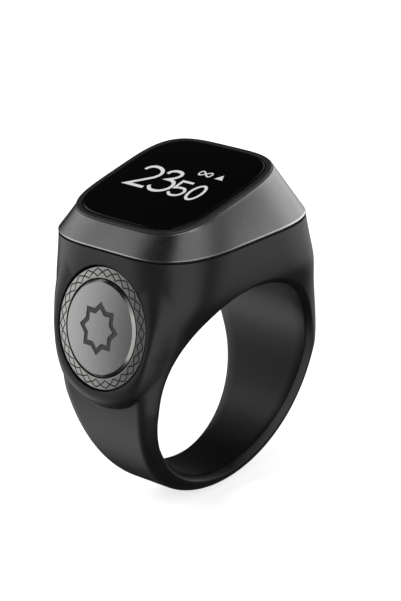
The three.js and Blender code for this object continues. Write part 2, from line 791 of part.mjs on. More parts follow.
const sealGeometry = cut(
  prism(headOutline(BEZEL_CHAMFER), SHELL_TOP + SEAT_GAP, BEZEL_BASE - SEAT_GAP),
  [prism(headOutline(HEAD_WALL - SLIP_GAP), SHELL_TOP - OVERCUT, BEZEL_BASE + OVERCUT)],
);
add(counterRing, "bezel_seal", sealGeometry, finishes.rubber);

// Frame, window and display module, in the display's frame

const frameGeometry = cut(
  loft([
    lifted(rimOutline(RIM_EDGE), SEAT_GAP - RIM_DROP),
    lifted(rimOutline(RIM_EDGE), FRAME_PROUD - FRAME_EDGE),
    lifted(rimOutline(RIM_EDGE + FRAME_EDGE), FRAME_PROUD),
  ]),
  [prism(glassOutline(-SLIP_GAP), -OVERCUT, OVERCUT)],
);
add(display, "window_frame", frameGeometry, finishes.frame);

const edgeMiddle = GLASS_EDGE * (1 - Math.SQRT1_2);
const windowGeometry = loft([
  lifted(glassOutline(0), GLASS_BOTTOM),
  lifted(glassOutline(0), GLASS_PROUD - GLASS_EDGE),
  lifted(glassOutline(edgeMiddle), GLASS_PROUD - edgeMiddle),
  lifted(glassOutline(GLASS_EDGE), GLASS_PROUD),
]);
add(display, "display_window", windowGeometry, finishes.glass);

const adhesiveGeometry = cut(
  prism(glassOutline(SLIP_GAP), LEDGE_HEIGHT + SEAT_GAP, GLASS_BOTTOM - SEAT_GAP),
  [prism(glassOutline(LEDGE_WIDTH + SLIP_GAP), LEDGE_HEIGHT - OVERCUT, GLASS_PROUD)],
);
add(display, "window_adhesive", adhesiveGeometry, finishes.rubber);

const panelOutline = roundedRectangle(PANEL_HALF_SIZE, PANEL_HALF_SIZE, PANEL_CORNER);
add(display, "oled_panel", prism(panelOutline, PANEL_BOTTOM, PANEL_TOP), finishes.panel);

// Display tray: a frame that stands on the board and carries the panel's edge

function trayGeometry() {
  const outer = roundedRectangle(TRAY_HALF_SIZE, TRAY_HALF_SIZE, TRAY_CORNER);
  const innerHalf = TRAY_HALF_SIZE - TRAY_WALL;
  const inner = roundedRectangle(innerHalf, innerHalf, TRAY_INNER_CORNER);
  const bottom = BOARD_TOP + SEAT_GAP;
  const top = displayHeight + TRAY_HALF_SIZE;
  const far = 2 * TRAY_HALF_SIZE;
  const above = block([-far, far], [-far, far], [PANEL_BOTTOM - SEAT_GAP, far]);
  return cut(prism(outer, bottom, top).translate(DISPLAY_SHIFT, 0, 0), [
    prism(inner, bottom - OVERCUT, top + OVERCUT).translate(DISPLAY_SHIFT, 0, 0),
    placed(above, displayFrame),
  ]);
}
add(counterRing, "display_tray", trayGeometry(), finishes.tray);

// Main board and what is soldered to it

const boardInset = HEAD_WALL + 2 * SLIP_GAP;
const boardGeometry = cut(
  prism(headOutline(boardInset), BOARD_HEIGHT, BOARD_TOP),
  screwHoles(SCREW_RADIUS + SLIP_GAP, BOARD_HEIGHT - OVERCUT, BOARD_TOP + OVERCUT),
);
add(counterRing, "main_board", boardGeometry, finishes.board);

function soldered({ x, y, length, width, height }) {
  return block(
    [DISPLAY_SHIFT + x - length / 2, DISPLAY_SHIFT + x + length / 2],
    [y - width / 2, y + width / 2],
    [PART_HEIGHT, PART_HEIGHT + height],
  );
}

add(counterRing, "processor_chip", soldered(PROCESSOR), finishes.chip);
add(counterRing, "charger_chip", soldered(CHARGER), finishes.chip);
add(counterRing, "motion_sensor", soldered(MOTION_SENSOR), finishes.chip);
add(counterRing, "clock_crystal", soldered(CRYSTAL), finishes.motor);
add(counterRing, "antenna_chip", soldered(ANTENNA), finishes.ceramic);
add(counterRing, "flex_connector", soldered(CONNECTOR), finishes.connector);

// Display ribbon: from under the panel's left end down into the connector on the board

// Height of the panel's underside, at a distance from the display's middle
function panelUnderside(x) {
  return displayHeight + x * Math.tan(displayTilt) + PANEL_BOTTOM / Math.cos(displayTilt);
}

const connectorLeft = CONNECTOR.x - CONNECTOR.length / 2;
const connectorMiddle = PART_HEIGHT + CONNECTOR.height / 2;
const ribbonTop = (x) => [x, panelUnderside(x) - FLEX_THICKNESS];
const ribbonLeft = -TRAY_HALF_SIZE + TRAY_WALL + 2 * SLIP_GAP;
const oledFlex = ribbon(
  [
    ribbonTop(CONNECTOR.x),
    ribbonTop(ribbonLeft),
    [ribbonLeft, connectorMiddle],
    [connectorLeft - SEAT_GAP, connectorMiddle],
  ],
  CONNECTOR.width - 2 * SLIP_GAP,
).translate(DISPLAY_SHIFT, CONNECTOR.y, 0);
add(counterRing, "oled_flex", oledFlex, finishes.flex);

// Battery in its bay under the board

const batteryOutline = roundedRectangle(BATTERY_LENGTH / 2, BATTERY_WIDTH / 2, BATTERY_CORNER);
const batteryGeometry = prism(batteryOutline, BATTERY_HEIGHT, BATTERY_TOP);
add(counterRing, "battery_cell", batteryGeometry.translate(BATTERY_CENTRE, 0, 0), finishes.cell);

const protectionGeometry = block(
  [PROTECTION_LEFT, PROTECTION_LEFT + PROTECTION_THICKNESS],
  [-PROTECTION_WIDTH / 2, PROTECTION_WIDTH / 2],
  [BATTERY_HEIGHT, BATTERY_HEIGHT + PROTECTION_HEIGHT],
);
add(counterRing, "battery_protection", protectionGeometry, finishes.board);

const padGeometry = block(
  [BATTERY_CENTRE - PAD_LENGTH / 2, BATTERY_CENTRE + PAD_LENGTH / 2],
  [-PAD_WIDTH / 2, PAD_WIDTH / 2],
  [PAD_HEIGHT, PAD_HEIGHT + PAD_THICKNESS],
);
add(counterRing, "battery_pad", padGeometry, finishes.foam);

// Charging contacts through the roof of the bore, and the ribbon behind them

["charge_contact_front", "charge_contact_rear"].forEach((name, i) => {
  const contact = disc(CONTACT_RADIUS, BORE_RADIUS - CONTACT_PROUD, FLOOR_RADIUS, SMALL_SEGMENTS);
  contact.translate(0, (i - 0.5) * CONTACT_SPACING, 0);
  add(counterRing, name, contact, finishes.contact);
});

const chargeMiddle = CONTACT_FLEX_HEIGHT + FLEX_THICKNESS / 2;
const chargeFlex = ribbon(
  [
    [-CONTACT_SPACING / 2 - CONTACT_RADIUS, chargeMiddle],
    [CHARGE_FLEX_SIDE, chargeMiddle],
    [CHARGE_FLEX_SIDE, BOARD_HEIGHT - SEAT_GAP],
  ],
  CHARGE_FLEX_WIDTH,
).rotateZ(Math.PI / 2);
add(counterRing, "charge_flex", chargeFlex, finishes.flex);

// Vibration motor: base, shaft, eccentric rotor and the cup over them

const motorCup = turned([
  [MOTOR_RADIUS - MOTOR_WALL, 0],
  [MOTOR_RADIUS, 0],
  [MOTOR_RADIUS, MOTOR_HEIGHT - MOTOR_WALL],
  [MOTOR_RADIUS - MOTOR_WALL, MOTOR_HEIGHT],
  [0, MOTOR_HEIGHT],
  [0, MOTOR_HEIGHT - MOTOR_WALL],
  [MOTOR_RADIUS - MOTOR_WALL, MOTOR_HEIGHT - MOTOR_WALL],
  [MOTOR_RADIUS - MOTOR_WALL, 0],
]);
const motorCupHeight = PART_HEIGHT + MOTOR_WALL + SEAT_GAP;
const motorInside = MOTOR_HEIGHT - MOTOR_WALL;
const rotorHeight = motorCupHeight + (motorInside - ROTOR_THICKNESS) / 2;

function rotorGeometry() {
  const edge = radians(ROTOR_HALF_ANGLE);
  const shape = new THREE.Shape();
  shape.absarc(0, 0, ROTOR_RADIUS, -edge, edge, false);
  shape.absarc(0, 0, ROTOR_HUB_RADIUS, edge, 2 * Math.PI - edge, false);
  const hole = new THREE.Path();
  hole.absarc(0, 0, MOTOR_SHAFT_RADIUS + SEAT_GAP, 0, 2 * Math.PI, true);
  shape.holes.push(hole);
  return new THREE.ExtrudeGeometry(shape, {
    depth: ROTOR_THICKNESS,
    bevelEnabled: false,
    curveSegments: SMALL_SEGMENTS,
  });
}

function addMotorPart(name, geometry, height, material) {
  add(counterRing, name, geometry, material).position.set(DISPLAY_SHIFT + MOTOR_PLACE, 0, height);
}

const shaftLength = motorInside - 2 * SEAT_GAP;
const motorShaft = disc(MOTOR_SHAFT_RADIUS, 0, shaftLength, SMALL_SEGMENTS);
addMotorPart("motor_base", disc(MOTOR_RADIUS, 0, MOTOR_WALL), PART_HEIGHT, finishes.board);
addMotorPart("motor_case", motorCup, motorCupHeight, finishes.motor);
addMotorPart("motor_shaft", motorShaft, motorCupHeight, finishes.motor);
addMotorPart("motor_rotor", rotorGeometry(), rotorHeight, finishes.weight);

// Board screws

function screwGeometry() {
  const tip = SLIP_GAP - SCREW_LENGTH - BOARD_THICKNESS;
  return turned(
    [
      [0, tip],
      [SCREW_RADIUS, tip + SCREW_TIP_BEVEL],
      [SCREW_RADIUS, 0],
      [SCREW_HEAD_RADIUS, 0],
      [SCREW_HEAD_RADIUS, SCREW_HEAD_HEIGHT - SCREW_HEAD_BEVEL],
      [SCREW_HEAD_RADIUS - SCREW_HEAD_BEVEL, SCREW_HEAD_HEIGHT],
      [0, SCREW_HEAD_HEIGHT],
    ],
    SMALL_SEGMENTS,
  );
}

["board_screw_front", "board_screw_rear"].forEach((name, i) => {
  const side = 2 * i - 1;
  const screw = add(counterRing, name, screwGeometry(), finishes.screw);
  screw.position.set(-SCREW_REACH, side * SCREW_SIDE, BOARD_TOP + SEAT_GAP);
});

// Button stack, in the button's frame

const ringGeometry = washer(RING_BORE, RING_RADIUS, -RING_THICKNESS, 0, RING_SEGMENTS);
add(button, "button_ring", ringGeometry, finishes.buttonRing);

const capGeometry = turned([
  [0, FLANGE_BOTTOM - NUB_HEIGHT],
  [NUB_RADIUS, FLANGE_BOTTOM - NUB_HEIGHT],
  [NUB_RADIUS, FLANGE_BOTTOM],
  [CAP_FLANGE_RADIUS, FLANGE_BOTTOM],
  [CAP_FLANGE_RADIUS, FLANGE_TOP],
  [CAP_RADIUS, FLANGE_TOP],
  [CAP_RADIUS, CAP_PROUD - CAP_BEVEL.depth],
  [CAP_RADIUS - CAP_BEVEL.width, CAP_PROUD],
  [0, CAP_PROUD],
]);
add(button, "button_cap", capGeometry, finishes.buttonCap);

const sealRing = washer(SEAL_INNER_RADIUS, CAP_FLANGE_RADIUS, SEAL_TOP - SEAL_THICKNESS, SEAL_TOP);
add(button, "button_seal", sealRing, finishes.silicone);

function switchGeometry() {
  const half = SWITCH_SIZE / 2;
  const well = PLUNGER_RADIUS + SLIP_GAP;
  return cut(block([-half, half], [-half, half], [SWITCH_BOTTOM, SWITCH_TOP]), [
    disc(well, SWITCH_BOTTOM + SWITCH_BASE, SWITCH_TOP + OVERCUT, SMALL_SEGMENTS),
  ]);
}
add(button, "switch_body", switchGeometry(), finishes.housing);

const plungerBottom = SWITCH_BOTTOM + SWITCH_BASE + BUTTON_TRAVEL + SEAT_GAP;
const plungerGeometry = disc(PLUNGER_RADIUS, plungerBottom, PLUNGER_TOP, SMALL_SEGMENTS);
add(button, "switch_plunger", plungerGeometry, finishes.plunger);

// Button ribbon: under the switch, up behind the button and onto the underside of the board

const flexTurn = BAY_LEFT + FLEX_THICKNESS + SLIP_GAP;
const [, flexTop] = buttonPoint(BUTTON_FLEX_RISE, SWITCH_FLEX);
const buttonFlex = ribbon(
  [
    buttonPoint(-SWITCH_SIZE / 2, SWITCH_FLEX),
    buttonPoint(BUTTON_FLEX_RISE, SWITCH_FLEX),
    [flexTurn, flexTop + FLEX_BEND],
    [flexTurn, BOARD_HEIGHT - SEAT_GAP],
  ],
  SWITCH_SIZE,
);
add(counterRing, "button_flex", buttonFlex, finishes.flex);

export default counterRing;
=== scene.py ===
"""Looks of the smart counter ring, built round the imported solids.

Sizes are in millimetres until a mesh is made. The origin is the centre of the finger bore, +Y runs along
the finger, +Z points to the display and the button faces -X.
"""

import math

import bmesh
import bpy
import numpy as np
from mathutils import Matrix, Vector


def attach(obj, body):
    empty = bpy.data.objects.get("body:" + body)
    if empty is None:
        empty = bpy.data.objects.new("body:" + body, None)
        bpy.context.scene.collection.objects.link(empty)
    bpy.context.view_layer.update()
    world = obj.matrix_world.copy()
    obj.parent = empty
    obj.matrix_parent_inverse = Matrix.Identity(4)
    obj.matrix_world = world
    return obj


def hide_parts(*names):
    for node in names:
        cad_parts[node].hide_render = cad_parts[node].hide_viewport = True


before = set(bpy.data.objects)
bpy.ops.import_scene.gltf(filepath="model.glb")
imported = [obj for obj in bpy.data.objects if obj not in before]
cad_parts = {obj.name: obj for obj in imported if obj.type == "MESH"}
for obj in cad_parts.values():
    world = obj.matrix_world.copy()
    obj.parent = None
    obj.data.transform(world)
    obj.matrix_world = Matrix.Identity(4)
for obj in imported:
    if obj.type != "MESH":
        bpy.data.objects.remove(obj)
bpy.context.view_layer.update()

MM = 0.001

# Band and head, as in the solids but for the slope at which the shoulder starts to widen
BORE_RADIUS = 10
BAND_RADIUS = 11.78
BAND_HALF_WIDTH = 6.07
BAND_FOOT_HALF_WIDTH = 3.48
BAND_EDGE_RADIUS = 1.65
BAND_FLARE = 0.1
LIP_WIDTH = 0.48
LIP_DEPTH = 0.61
SHELL_TOP = 14.66
HEAD_HALF_LENGTH = 10.07
HEAD_HALF_WIDTH = 9.78
HEAD_FLAT = 2
HEAD_CORNER_POWER = 2.92
HEAD_WALL = 1.1
DEPTH_FLARE = [(0, 0, 0.87), (0.525, 0.628, 1.7), (0.737, 0.951, 0.59), (1, 1, 0)]

# Rooms inside the shell
SHELF_HEIGHT = 13.3
BAY_SPAN = (-6.67, 7.57)
BAY_HALF_WIDTH = 7.92
BAY_CORNER = 2.2
BAY_FLOOR = 10.3
FLOOR_RADIUS = 11
CONTACT_RADIUS = 0.85
CONTACT_SPACING = 4.4
CONTACT_CLEARANCE = 0.03
CONTACT_HOLE = (9, 12)
SCREW_PLACE = (-7.398, 4)
SCREW_HOLE_RADIUS = 0.45
SCREW_HOLE_BOTTOM = 11.8
PASSAGE_HALF_WIDTH = 1.6
PASSAGE_BELOW = 0.65
PASSAGE_ABOVE = 0.85
PASSAGE_OUTWARD = 0.7
PASSAGE_INNER_END = -6.55

# Bezel, frame and window, square to the display
BEZEL_BASE = 14.8
BEZEL_CHAMFER = 0.15
SPIGOT_INSET = 1.2
SPIGOT_WALL = 0.62
SPIGOT_DEPTH = 0.7
BEZEL_HOLLOW = 0.85
RIM_HALF_LENGTH = 7.88
RIM_HALF_WIDTH = 8.09
RIM_POWER = 4.01
RIM_DROP = 0.12
RIM_EDGE = 0.08
FRAME_PROUD = 0.1
FRAME_EDGE = 0.12
GLASS_HALF_LENGTH = 7.24
GLASS_HALF_WIDTH = 7.35
GLASS_POWER = 4.12
GLASS_TOP = 0.2
GLASS_BOTTOM = -0.7
GLASS_EDGE = 0.22
GLASS_GAP = 0.1
LEDGE_HEIGHT = -0.86
LEDGE_WIDTH = 0.5
DISPLAY_TILT = math.radians(12.68)
DISPLAY_CENTRE = (-0.76, 0, 18.569)

# Button, square to its face
BUTTON_TILT = math.radians(14.1)
BUTTON_STAND = 12.8
BUTTON_RISE = 4.59
RING_RADIUS = 5.78
RING_BORE = 4.67
RING_THICKNESS = 0.75
RING_POCKET_RADIUS = 5.88
RING_POCKET_FLOOR = -0.78
# Broken edge of the ring's pocket: how far out and how high
RING_POCKET_EDGE = [(0, -0.07), (0.02, -0.03), (0.06, 0)]
FLANGE_POCKET_RADIUS = 5.15
FLANGE_POCKET_FLOOR = -1.99
SWITCH_POCKET_FLOOR = -2.44
CAP_RADIUS = 4.55
CAP_FLANGE_RADIUS = 5.05
CAP_FLANGE = (-1.15, -0.85)
NUB_RADIUS = 0.9
NUB_BOTTOM = -1.35
BOSS_FACE_RADIUS = 6.2
BOSS_ANGLES = [0, 60, 75, 90, 105, 120, 140, 180]
BOSS_RADII = [8.6, 8.6, 8.2, 7.5, 7.25, 7.4, 7.6, 7.6]
BOSS_GENTLENESS = [2, 2, 2, 2, 1.8, 1.2, 0.75, 0.75]

OVERCUT = 1
FINE_STEPS = 64
ROUND_STEPS = 256
CORNER_SAMPLES = 400


def linear(code):
    """The linear colour of an sRGB hex value."""
    parts = [int(code[i : i + 2], 16) / 255 for i in (1, 3, 5)]
    return (*(c / 12.92 if c <= 0.04045 else ((c + 0.055) / 1.055) ** 2.4 for c in parts), 1)


def add(tree, kind, links=None, **settings):
    """Adds a node with its settings; links gives each input a value or another node's output."""
    node = tree.nodes.new(kind)
    for name, value in settings.items():
        setattr(node, name, value)
    for socket, value in (links or {}).items():
        if isinstance(value, bpy.types.NodeSocket):
            tree.links.new(value, node.inputs[socket])
        else:
            node.inputs[socket].default_value = value
    return node


def finish_of(name, colour, metallic=0.0, roughness=0.5, **sockets):
    """A material with one principled shader, and its tree and shader."""
    material = bpy.data.materials.new(name)
    material.use_nodes = True
    shader = material.node_tree.nodes["Principled BSDF"]
    shader.inputs["Base Color"].default_value = linear(colour)
    shader.inputs["Metallic"].default_value = metallic
    shader.inputs["Roughness"].default_value = roughness
    for socket, value in sockets.items():
        shader.inputs[socket.replace("_", " ")].default_value = value
    return material, material.node_tree, shader


# Shapes


def mix(a, b, share):
    return a + (b - a) * share


def hermite(share, start, end, start_slope, end_slope):
    """A cubic through two values with a slope at each, for a share from 0 to 1 of the span."""
    squared = share * share
    cubed = squared * share
    return (
        (2 * cubed - 3 * squared + 1) * start
        + (cubed - 2 * squared + share) * start_slope
        + (3 * squared - 2 * cubed) * end
        + (cubed - squared) * end_slope
    )


def even_points(points, steps, spacing=None):
    """Points at equal distances along a polyline; with a set spacing, the last ones share its end."""
    lengths = np.concatenate([[0], np.cumsum(np.linalg.norm(np.diff(points, axis=0), axis=1))])
    wanted = np.arange(steps + 1) * (spacing or lengths[-1] / steps)
    return np.stack([np.interp(wanted, lengths, points[:, k]) for k in range(points.shape[1])], 1)


def outline(half_x, half_y, corner_x, corner_y, power, steps=FINE_STEPS):
    """A soft-cornered rectangle, from the +X side round by the +Y side."""
    angle = np.linspace(0, math.pi / 2, CORNER_SAMPLES)
    cos = np.clip(np.cos(angle), 0, 1)
    sin = np.sin(angle)
    reach = (cos**power + sin**power) ** (-1 / power)
    x = half_x - corner_x + corner_x * reach * cos
    y = half_y - corner_y + corner_y * reach * sin
    curve = np.stack([np.r_[half_x, x, 0], np.r_[0, y, half_y]], 1)
    quarter = even_points(curve, steps)
    right = quarter[:-1]
    left = quarter[1:][::-1]
    return np.concatenate([right, left * (-1, 1), right * (-1, -1), left * (1, -1)])


def head_outline(inset):
    return outline(
        HEAD_HALF_LENGTH - inset,
        HEAD_HALF_WIDTH - inset,
        HEAD_HALF_LENGTH - HEAD_FLAT - inset,
        HEAD_HALF_WIDTH - HEAD_FLAT - inset,
        HEAD_CORNER_POWER,
    )


def rim_outline(inset):
    x = RIM_HALF_LENGTH - inset
    y = RIM_HALF_WIDTH - inset
    return outline(x, y, x, y, RIM_POWER)


def glass_outline(inset):
    x = GLASS_HALF_LENGTH - inset
    y = GLASS_HALF_WIDTH - inset
    return outline(x, y, x, y, GLASS_POWER)


def lifted(points, height):
    return np.column_stack([points, np.full(len(points), height)])


def circle(radius, height, count):
    angle = np.linspace(0, 2 * math.pi, count, endpoint=False)
    return np.column_stack([radius * np.cos(angle), radius * np.sin(angle), np.full(count, height)])


def display_matrix():
    """From the display's own frame to the ring's: X up the display, Y along the finger, Z out of it."""
    return Matrix.Translation(DISPLAY_CENTRE) @ Matrix.Rotation(-DISPLAY_TILT, 4, "Y")


def button_matrix():
    """From the button's own frame to the ring's: X up its face, Y along the finger, Z out of it."""
    normal = Vector((-math.cos(BUTTON_TILT), 0, math.sin(BUTTON_TILT)))
    up = Vector((math.sin(BUTTON_TILT), 0, math.cos(BUTTON_TILT)))
    centre = normal * BUTTON_STAND + up * BUTTON_RISE
    return Matrix.Translation(centre) @ Matrix.Rotation(BUTTON_TILT - math.pi / 2, 4, "Y")


DISPLAY = display_matrix()
BUTTON = button_matrix()
BUTTON_SEAT = Matrix.Translation(BUTTON.translation * MM) @ BUTTON.to_3x3().to_4x4()


def placed(points, matrix):
    turn = np.array(matrix.to_3x3())
    return points @ turn.T + np.array(matrix.translation)


def faces_between(rows, count, closed):
    """Quads of a grid whose rows are closed loops of points."""
    row = np.arange(rows if closed else rows - 1)[:, None]
    here = np.arange(count)[None, :]
    after = (row + 1) % rows
    beside = (here + 1) % count
    corners = [row * count + here, row * count + beside, after * count + beside, after * count + here]
    return np.stack(np.broadcast_arrays(*corners), -1).reshape(-1, 4)


def make_piece(name, points, faces, material=None):
    """A mesh in the ring's frame, from points in millimetres."""
    mesh = bpy.data.meshes.new(name)
    mesh.from_pydata((np.asarray(points) * MM).tolist(), [], [list(f) for f in faces])
    mesh.update()
    if material:
        mesh.materials.append(material)
    piece = bpy.data.objects.new(name, mesh)
    bpy.context.scene.collection.objects.link(piece)
    return piece


def merged(piece, distance=0.002):
    """Joins points of a piece that share a place."""
    shape = bmesh.new()
    shape.from_mesh(piece.data)
    bmesh.ops.remove_doubles(shape, verts=shape.verts, dist=distance * MM)
    bmesh.ops.dissolve_degenerate(shape, edges=shape.edges, dist=distance * MM / 10)
    shape.to_mesh(piece.data)
    shape.free()
    return piece


def loft(name, rings, matrix=None, material=None):
    """A closed skin through rings of points, listed from the bottom up, with flat ends."""
    points = np.concatenate(rings)
    count = len(rings[0])
    faces = faces_between(len(rings), count, False).tolist()
    faces.append(list(range(count))[::-1])
    faces.append(list(range(len(points) - count, len(points))))
    if matrix:
        points = placed(points, matrix)
    return make_piece(name, points, faces, material)


def collar(name, rings, matrix=None, material=None):
    """A closed band through rings that go up its outside, over and down its inside."""
    points = np.concatenate(rings)
    if matrix:
        points = placed(points, matrix)
    return make_piece(name, points, faces_between(len(rings), len(rings[0]), True), material)


def turned(name, profile, matrix, count, material=None):
    """A turned solid on its own Z axis; the profile lists radius and height from the bottom up."""
    return loft(name, [circle(radius, height, count) for radius, height in profile], matrix, material)


def block(name, x, y, z, matrix=None):
    corners = np.array([[x[0], y[0]], [x[1], y[0]], [x[1], y[1]], [x[0], y[1]]])
    return loft(name, [lifted(corners, z[0]), lifted(corners, z[1])], matrix)


def carve(piece, cutters):
    """Cuts each cutter out of a piece, one after the other, and deletes them; its own finish stays."""
    finish = list(piece.data.materials)
    for cutter in cutters:
        cut = piece.modifiers.new("cut", "BOOLEAN")
        cut.operation = "DIFFERENCE"
        cut.solver = "MANIFOLD"
        cut.object = cutter
    settle(piece)
    for cutter in cutters:
        bpy.data.objects.remove(cutter)
    wear(piece, *finish)
    return piece


def wear(piece, *finish):
    """Gives the whole piece one finish."""
    piece.data.materials.clear()
    for material in finish:
        piece.data.materials.append(material)
    piece.data.polygons.foreach_set("material_index", np.zeros(len(piece.data.polygons), int))
    return piece


def settle(piece):
    """Makes a piece's modifiers part of its mesh."""
    graph = bpy.context.evaluated_depsgraph_get()
    mesh = bpy.data.meshes.new_from_object(piece.evaluated_get(graph))
    piece.modifiers.clear()
    piece.data = mesh


def polish(piece, sharp_angle=32):
    """Smooth shading, with edges sharper than the angle kept crisp."""
    piece.data.shade_smooth()
    piece.data.set_sharp_from_angle(angle=math.radians(sharp_angle))
    return piece


def fit(piece, body, slot, *nodes):
    """The piece rides on a body and stands for the nodes, which are hidden; the slot is not used."""
    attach(piece, body)
    if nodes:
        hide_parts(*nodes)
    return piece


# Camera

CAMERA_TURN = math.radians(44.07)
CAMERA_RISE = math.radians(20.96)
CAMERA_ROLL = math.radians(-3.92)
CAMERA_DISTANCE = 256.47
CAMERA_SHIFT = (-0.783, -6.266)
CAMERA_LENS = 159.96


def make_camera():
    right = Vector((math.cos(CAMERA_TURN), -math.sin(CAMERA_TURN), 0))
    flat = math.cos(CAMERA_RISE)
    back = Vector((-math.sin(CAMERA_TURN) * flat, -math.cos(CAMERA_TURN) * flat, math.sin(CAMERA_RISE)))
    up = back.cross(right)
    across = right * math.cos(CAMERA_ROLL) + up * math.sin(CAMERA_ROLL)
    upward = up * math.cos(CAMERA_ROLL) - right * math.sin(CAMERA_ROLL)
    place = back * CAMERA_DISTANCE - across * CAMERA_SHIFT[0] - upward * CAMERA_SHIFT[1]
    data = bpy.data.cameras.new("photo_camera")
    data.sensor_width = 36
    data.lens = CAMERA_LENS
    data.clip_start = 0.01
    data.clip_end = 10
    camera = bpy.data.objects.new("photo_camera", data)
    turn = Matrix((across, upward, back)).transposed().to_4x4()
    camera.matrix_world = Matrix.Translation(place * MM) @ turn
    bpy.context.scene.collection.objects.link(camera)
    bpy.context.scene.camera = camera


make_camera()

# Finishes

# Values between which a noise pattern mostly lies
NOISE_SPAN = (0.3, 0.7)


def inverse(size):
    """Texture scale at which a pattern's features are the given size in millimetres."""
    return 1 / (size * MM)


def grained(tree, shader, size, height, detail=2, stretch=(1, 1, 1)):
    """Gives a shader a fine relief, from the grain's size and height in millimetres."""
    place = add(tree, "ShaderNodeTexCoord").outputs["Object"]
    drawn = add(tree, "ShaderNodeMapping", {"Vector": place, "Scale": stretch})
    links = {"Vector": drawn.outputs[0], "Scale": inverse(size), "Detail": detail}
    grain = add(tree, "ShaderNodeTexNoise", links).outputs[0]
    relief = add(tree, "ShaderNodeBump", {"Strength": 1, "Distance": height * MM, "Height": grain})
    tree.links.new(relief.outputs[0], shader.inputs["Normal"])
    return grain


def vary(tree, shader, socket, pattern, low, high, span=NOISE_SPAN):
    """Lets a pattern carry a shader's socket between two numbers or two sRGB colours, over its span."""
    if isinstance(low, str):
        varied = add(tree, "ShaderNodeValToRGB", {"Fac": pattern})
        for stop, place, colour in zip(varied.color_ramp.elements, span, (low, high)):
            stop.position = place
            stop.color = linear(colour)
    else:
        links = {"Value": pattern, "From Min": span[0], "From Max": span[1], "To Min": low, "To Max": high}
        varied = add(tree, "ShaderNodeMapRange", links)
    tree.links.new(varied.outputs[0], shader.inputs[socket])


def clouds(tree, size, detail=3):
    """Slow variation over the piece, with patches of the given size in millimetres."""
    place = add(tree, "ShaderNodeTexCoord").outputs["Object"]
    links = {"Vector": place, "Scale": inverse(size), "Detail": detail}
    return add(tree, "ShaderNodeTexNoise", links).outputs[0]


def moulded_shell():
    """Polycarbonate and ABS from a spark-eroded mould: matte dark grey, smoother where a finger rubs it."""
    material, tree, shader = finish_of("spark_eroded_pc_abs", "#121213", Specular_IOR_Level=0.37)
    # the mould's texture is about 0.03 mm and is drawn at 0.1 mm so that it shows
    grain = grained(tree, shader, 0.1, 0.0012)
    vary(tree, shader, "Base Color", clouds(tree, 5), "#101011", "#151516")
    place = add(tree, "ShaderNodeTexCoord").outputs["Object"]
    sides = add(tree, "ShaderNodeVectorMath", {0: place, 1: (1, 0, 1)}, operation="MULTIPLY")
    radius = add(tree, "ShaderNodeVectorMath", {0: sides.outputs[0]}, operation="LENGTH").outputs["Value"]
    # 0.3 in the bore and 0.37 outside, give or take 0.03 with the texture
    links = {"Value": radius, "From Min": BORE_RADIUS * MM, "From Max": (BORE_RADIUS + LIP_WIDTH) * MM}
    lowest = add(tree, "ShaderNodeMapRange", {**links, "To Min": 0.27, "To Max": 0.34}).outputs[0]
    highest = add(tree, "ShaderNodeMapRange", {**links, "To Min": 0.33, "To Max": 0.4}).outputs[0]
    vary(tree, shader, "Roughness", grain, lowest, highest)
    return material


def bare_edge_with_painted_highlight():
    """Diamond-cut edge of the bezel, bare metal, lighter than the coated faces, and widened onto the face
    above as a painted highlight: a bright thin line.
    """
    material, tree, shader = finish_of("diamond_cut_edge", "#a6a6a8", 1, 0.25)
    # cutter marks of about 0.01 mm are drawn at 0.05 mm
    grain = grained(tree, shader, 0.05, 0.0003)
    vary(tree, shader, "Roughness", grain, 0.21, 0.29)
    vary(tree, shader, "Base Color", grain, "#a0a0a2", "#acacae")
    return material


def gunmetal(name, roughness, grain_height):
    """Zinc alloy, satin polished and coated gunmetal grey: soft streaked reflections along its faces."""
    material, tree, shader = finish_of(name, "#717173", 1, roughness)
    # polishing lines of about 0.02 mm run round the bezel and are drawn at 0.06 mm
    grain = grained(tree, shader, 0.06, grain_height, stretch=(0.15, 0.15, 1))
    vary(tree, shader, "Roughness", grain, roughness - 0.03, roughness + 0.04)
    vary(tree, shader, "Base Color", clouds(tree, 6), "#6d6d6e", "#757576")
    return material


def satin_steel(name, first, second, roughness):
    """Stainless steel blasted with fine glass beads: an even, slightly sparkling satin."""
    material, tree, shader = finish_of(name, first, 1, roughness)
    # bead marks of about 0.03 mm are drawn at 0.08 mm
    grain = grained(tree, shader, 0.08, 0.0008)
    vary(tree, shader, "Roughness", grain, roughness - 0.05, roughness + 0.05)
    vary(tree, shader, "Base Color", grain, first, second)
    return material


def engraving_and_painted_shade():
    """Laser-engraved steel, oxidised dark: matte grooves that take no highlight; also laid as painted shade
    on the button ring's walls and the cap's skirt.
    """
    material, tree, shader = finish_of("laser_engraved_steel", "#2a2a2a", 0.5, 0.6)
    grain = grained(tree, shader, 0.05, 0.002)
    vary(tree, shader, "Base Color", grain, "#242424", "#343432")
    return material


def etched_mark():
    """A laser-etched field on the steel cap: flat dark grey with a faint grain."""
    material, tree, shader = finish_of("laser_etched_mark", "#454545", 0.2, 0.55)
    grain = grained(tree, shader, 0.07, 0.001)
    vary(tree, shader, "Base Color", grain, "#404040", "#4b4b4a")
    return material


def cover_glass():
    """Tempered glass, black behind, anti-glare coated: deep black, a soft thin highlight at its edges."""
    material, tree, shader = finish_of("black_backed_tempered_glass", "#040404", 0, 0.08)
    shader.inputs["Specular IOR Level"].default_value = 0.12
    # skin grease in patches of some 4 mm dulls the gloss a little
    vary(tree, shader, "Roughness", clouds(tree, 4), 0.06, 0.13)
    vary(tree, shader, "Base Color", clouds(tree, 9), "#060606", "#090909")
    return material


def lacquered_frame():
    """Moulded polycarbonate under a dark metallic lacquer: the satin band round the glass."""
    material, tree, shader = finish_of("metallic_lacquer_on_pc", "#343435", 0.3, 0.42)
    grain = grained(tree, shader, 0.07, 0.0008)
    vary(tree, shader, "Roughness", grain, 0.38, 0.46)
    vary(tree, shader, "Base Color", clouds(tree, 4), "#313132", "#39393a")
    return material


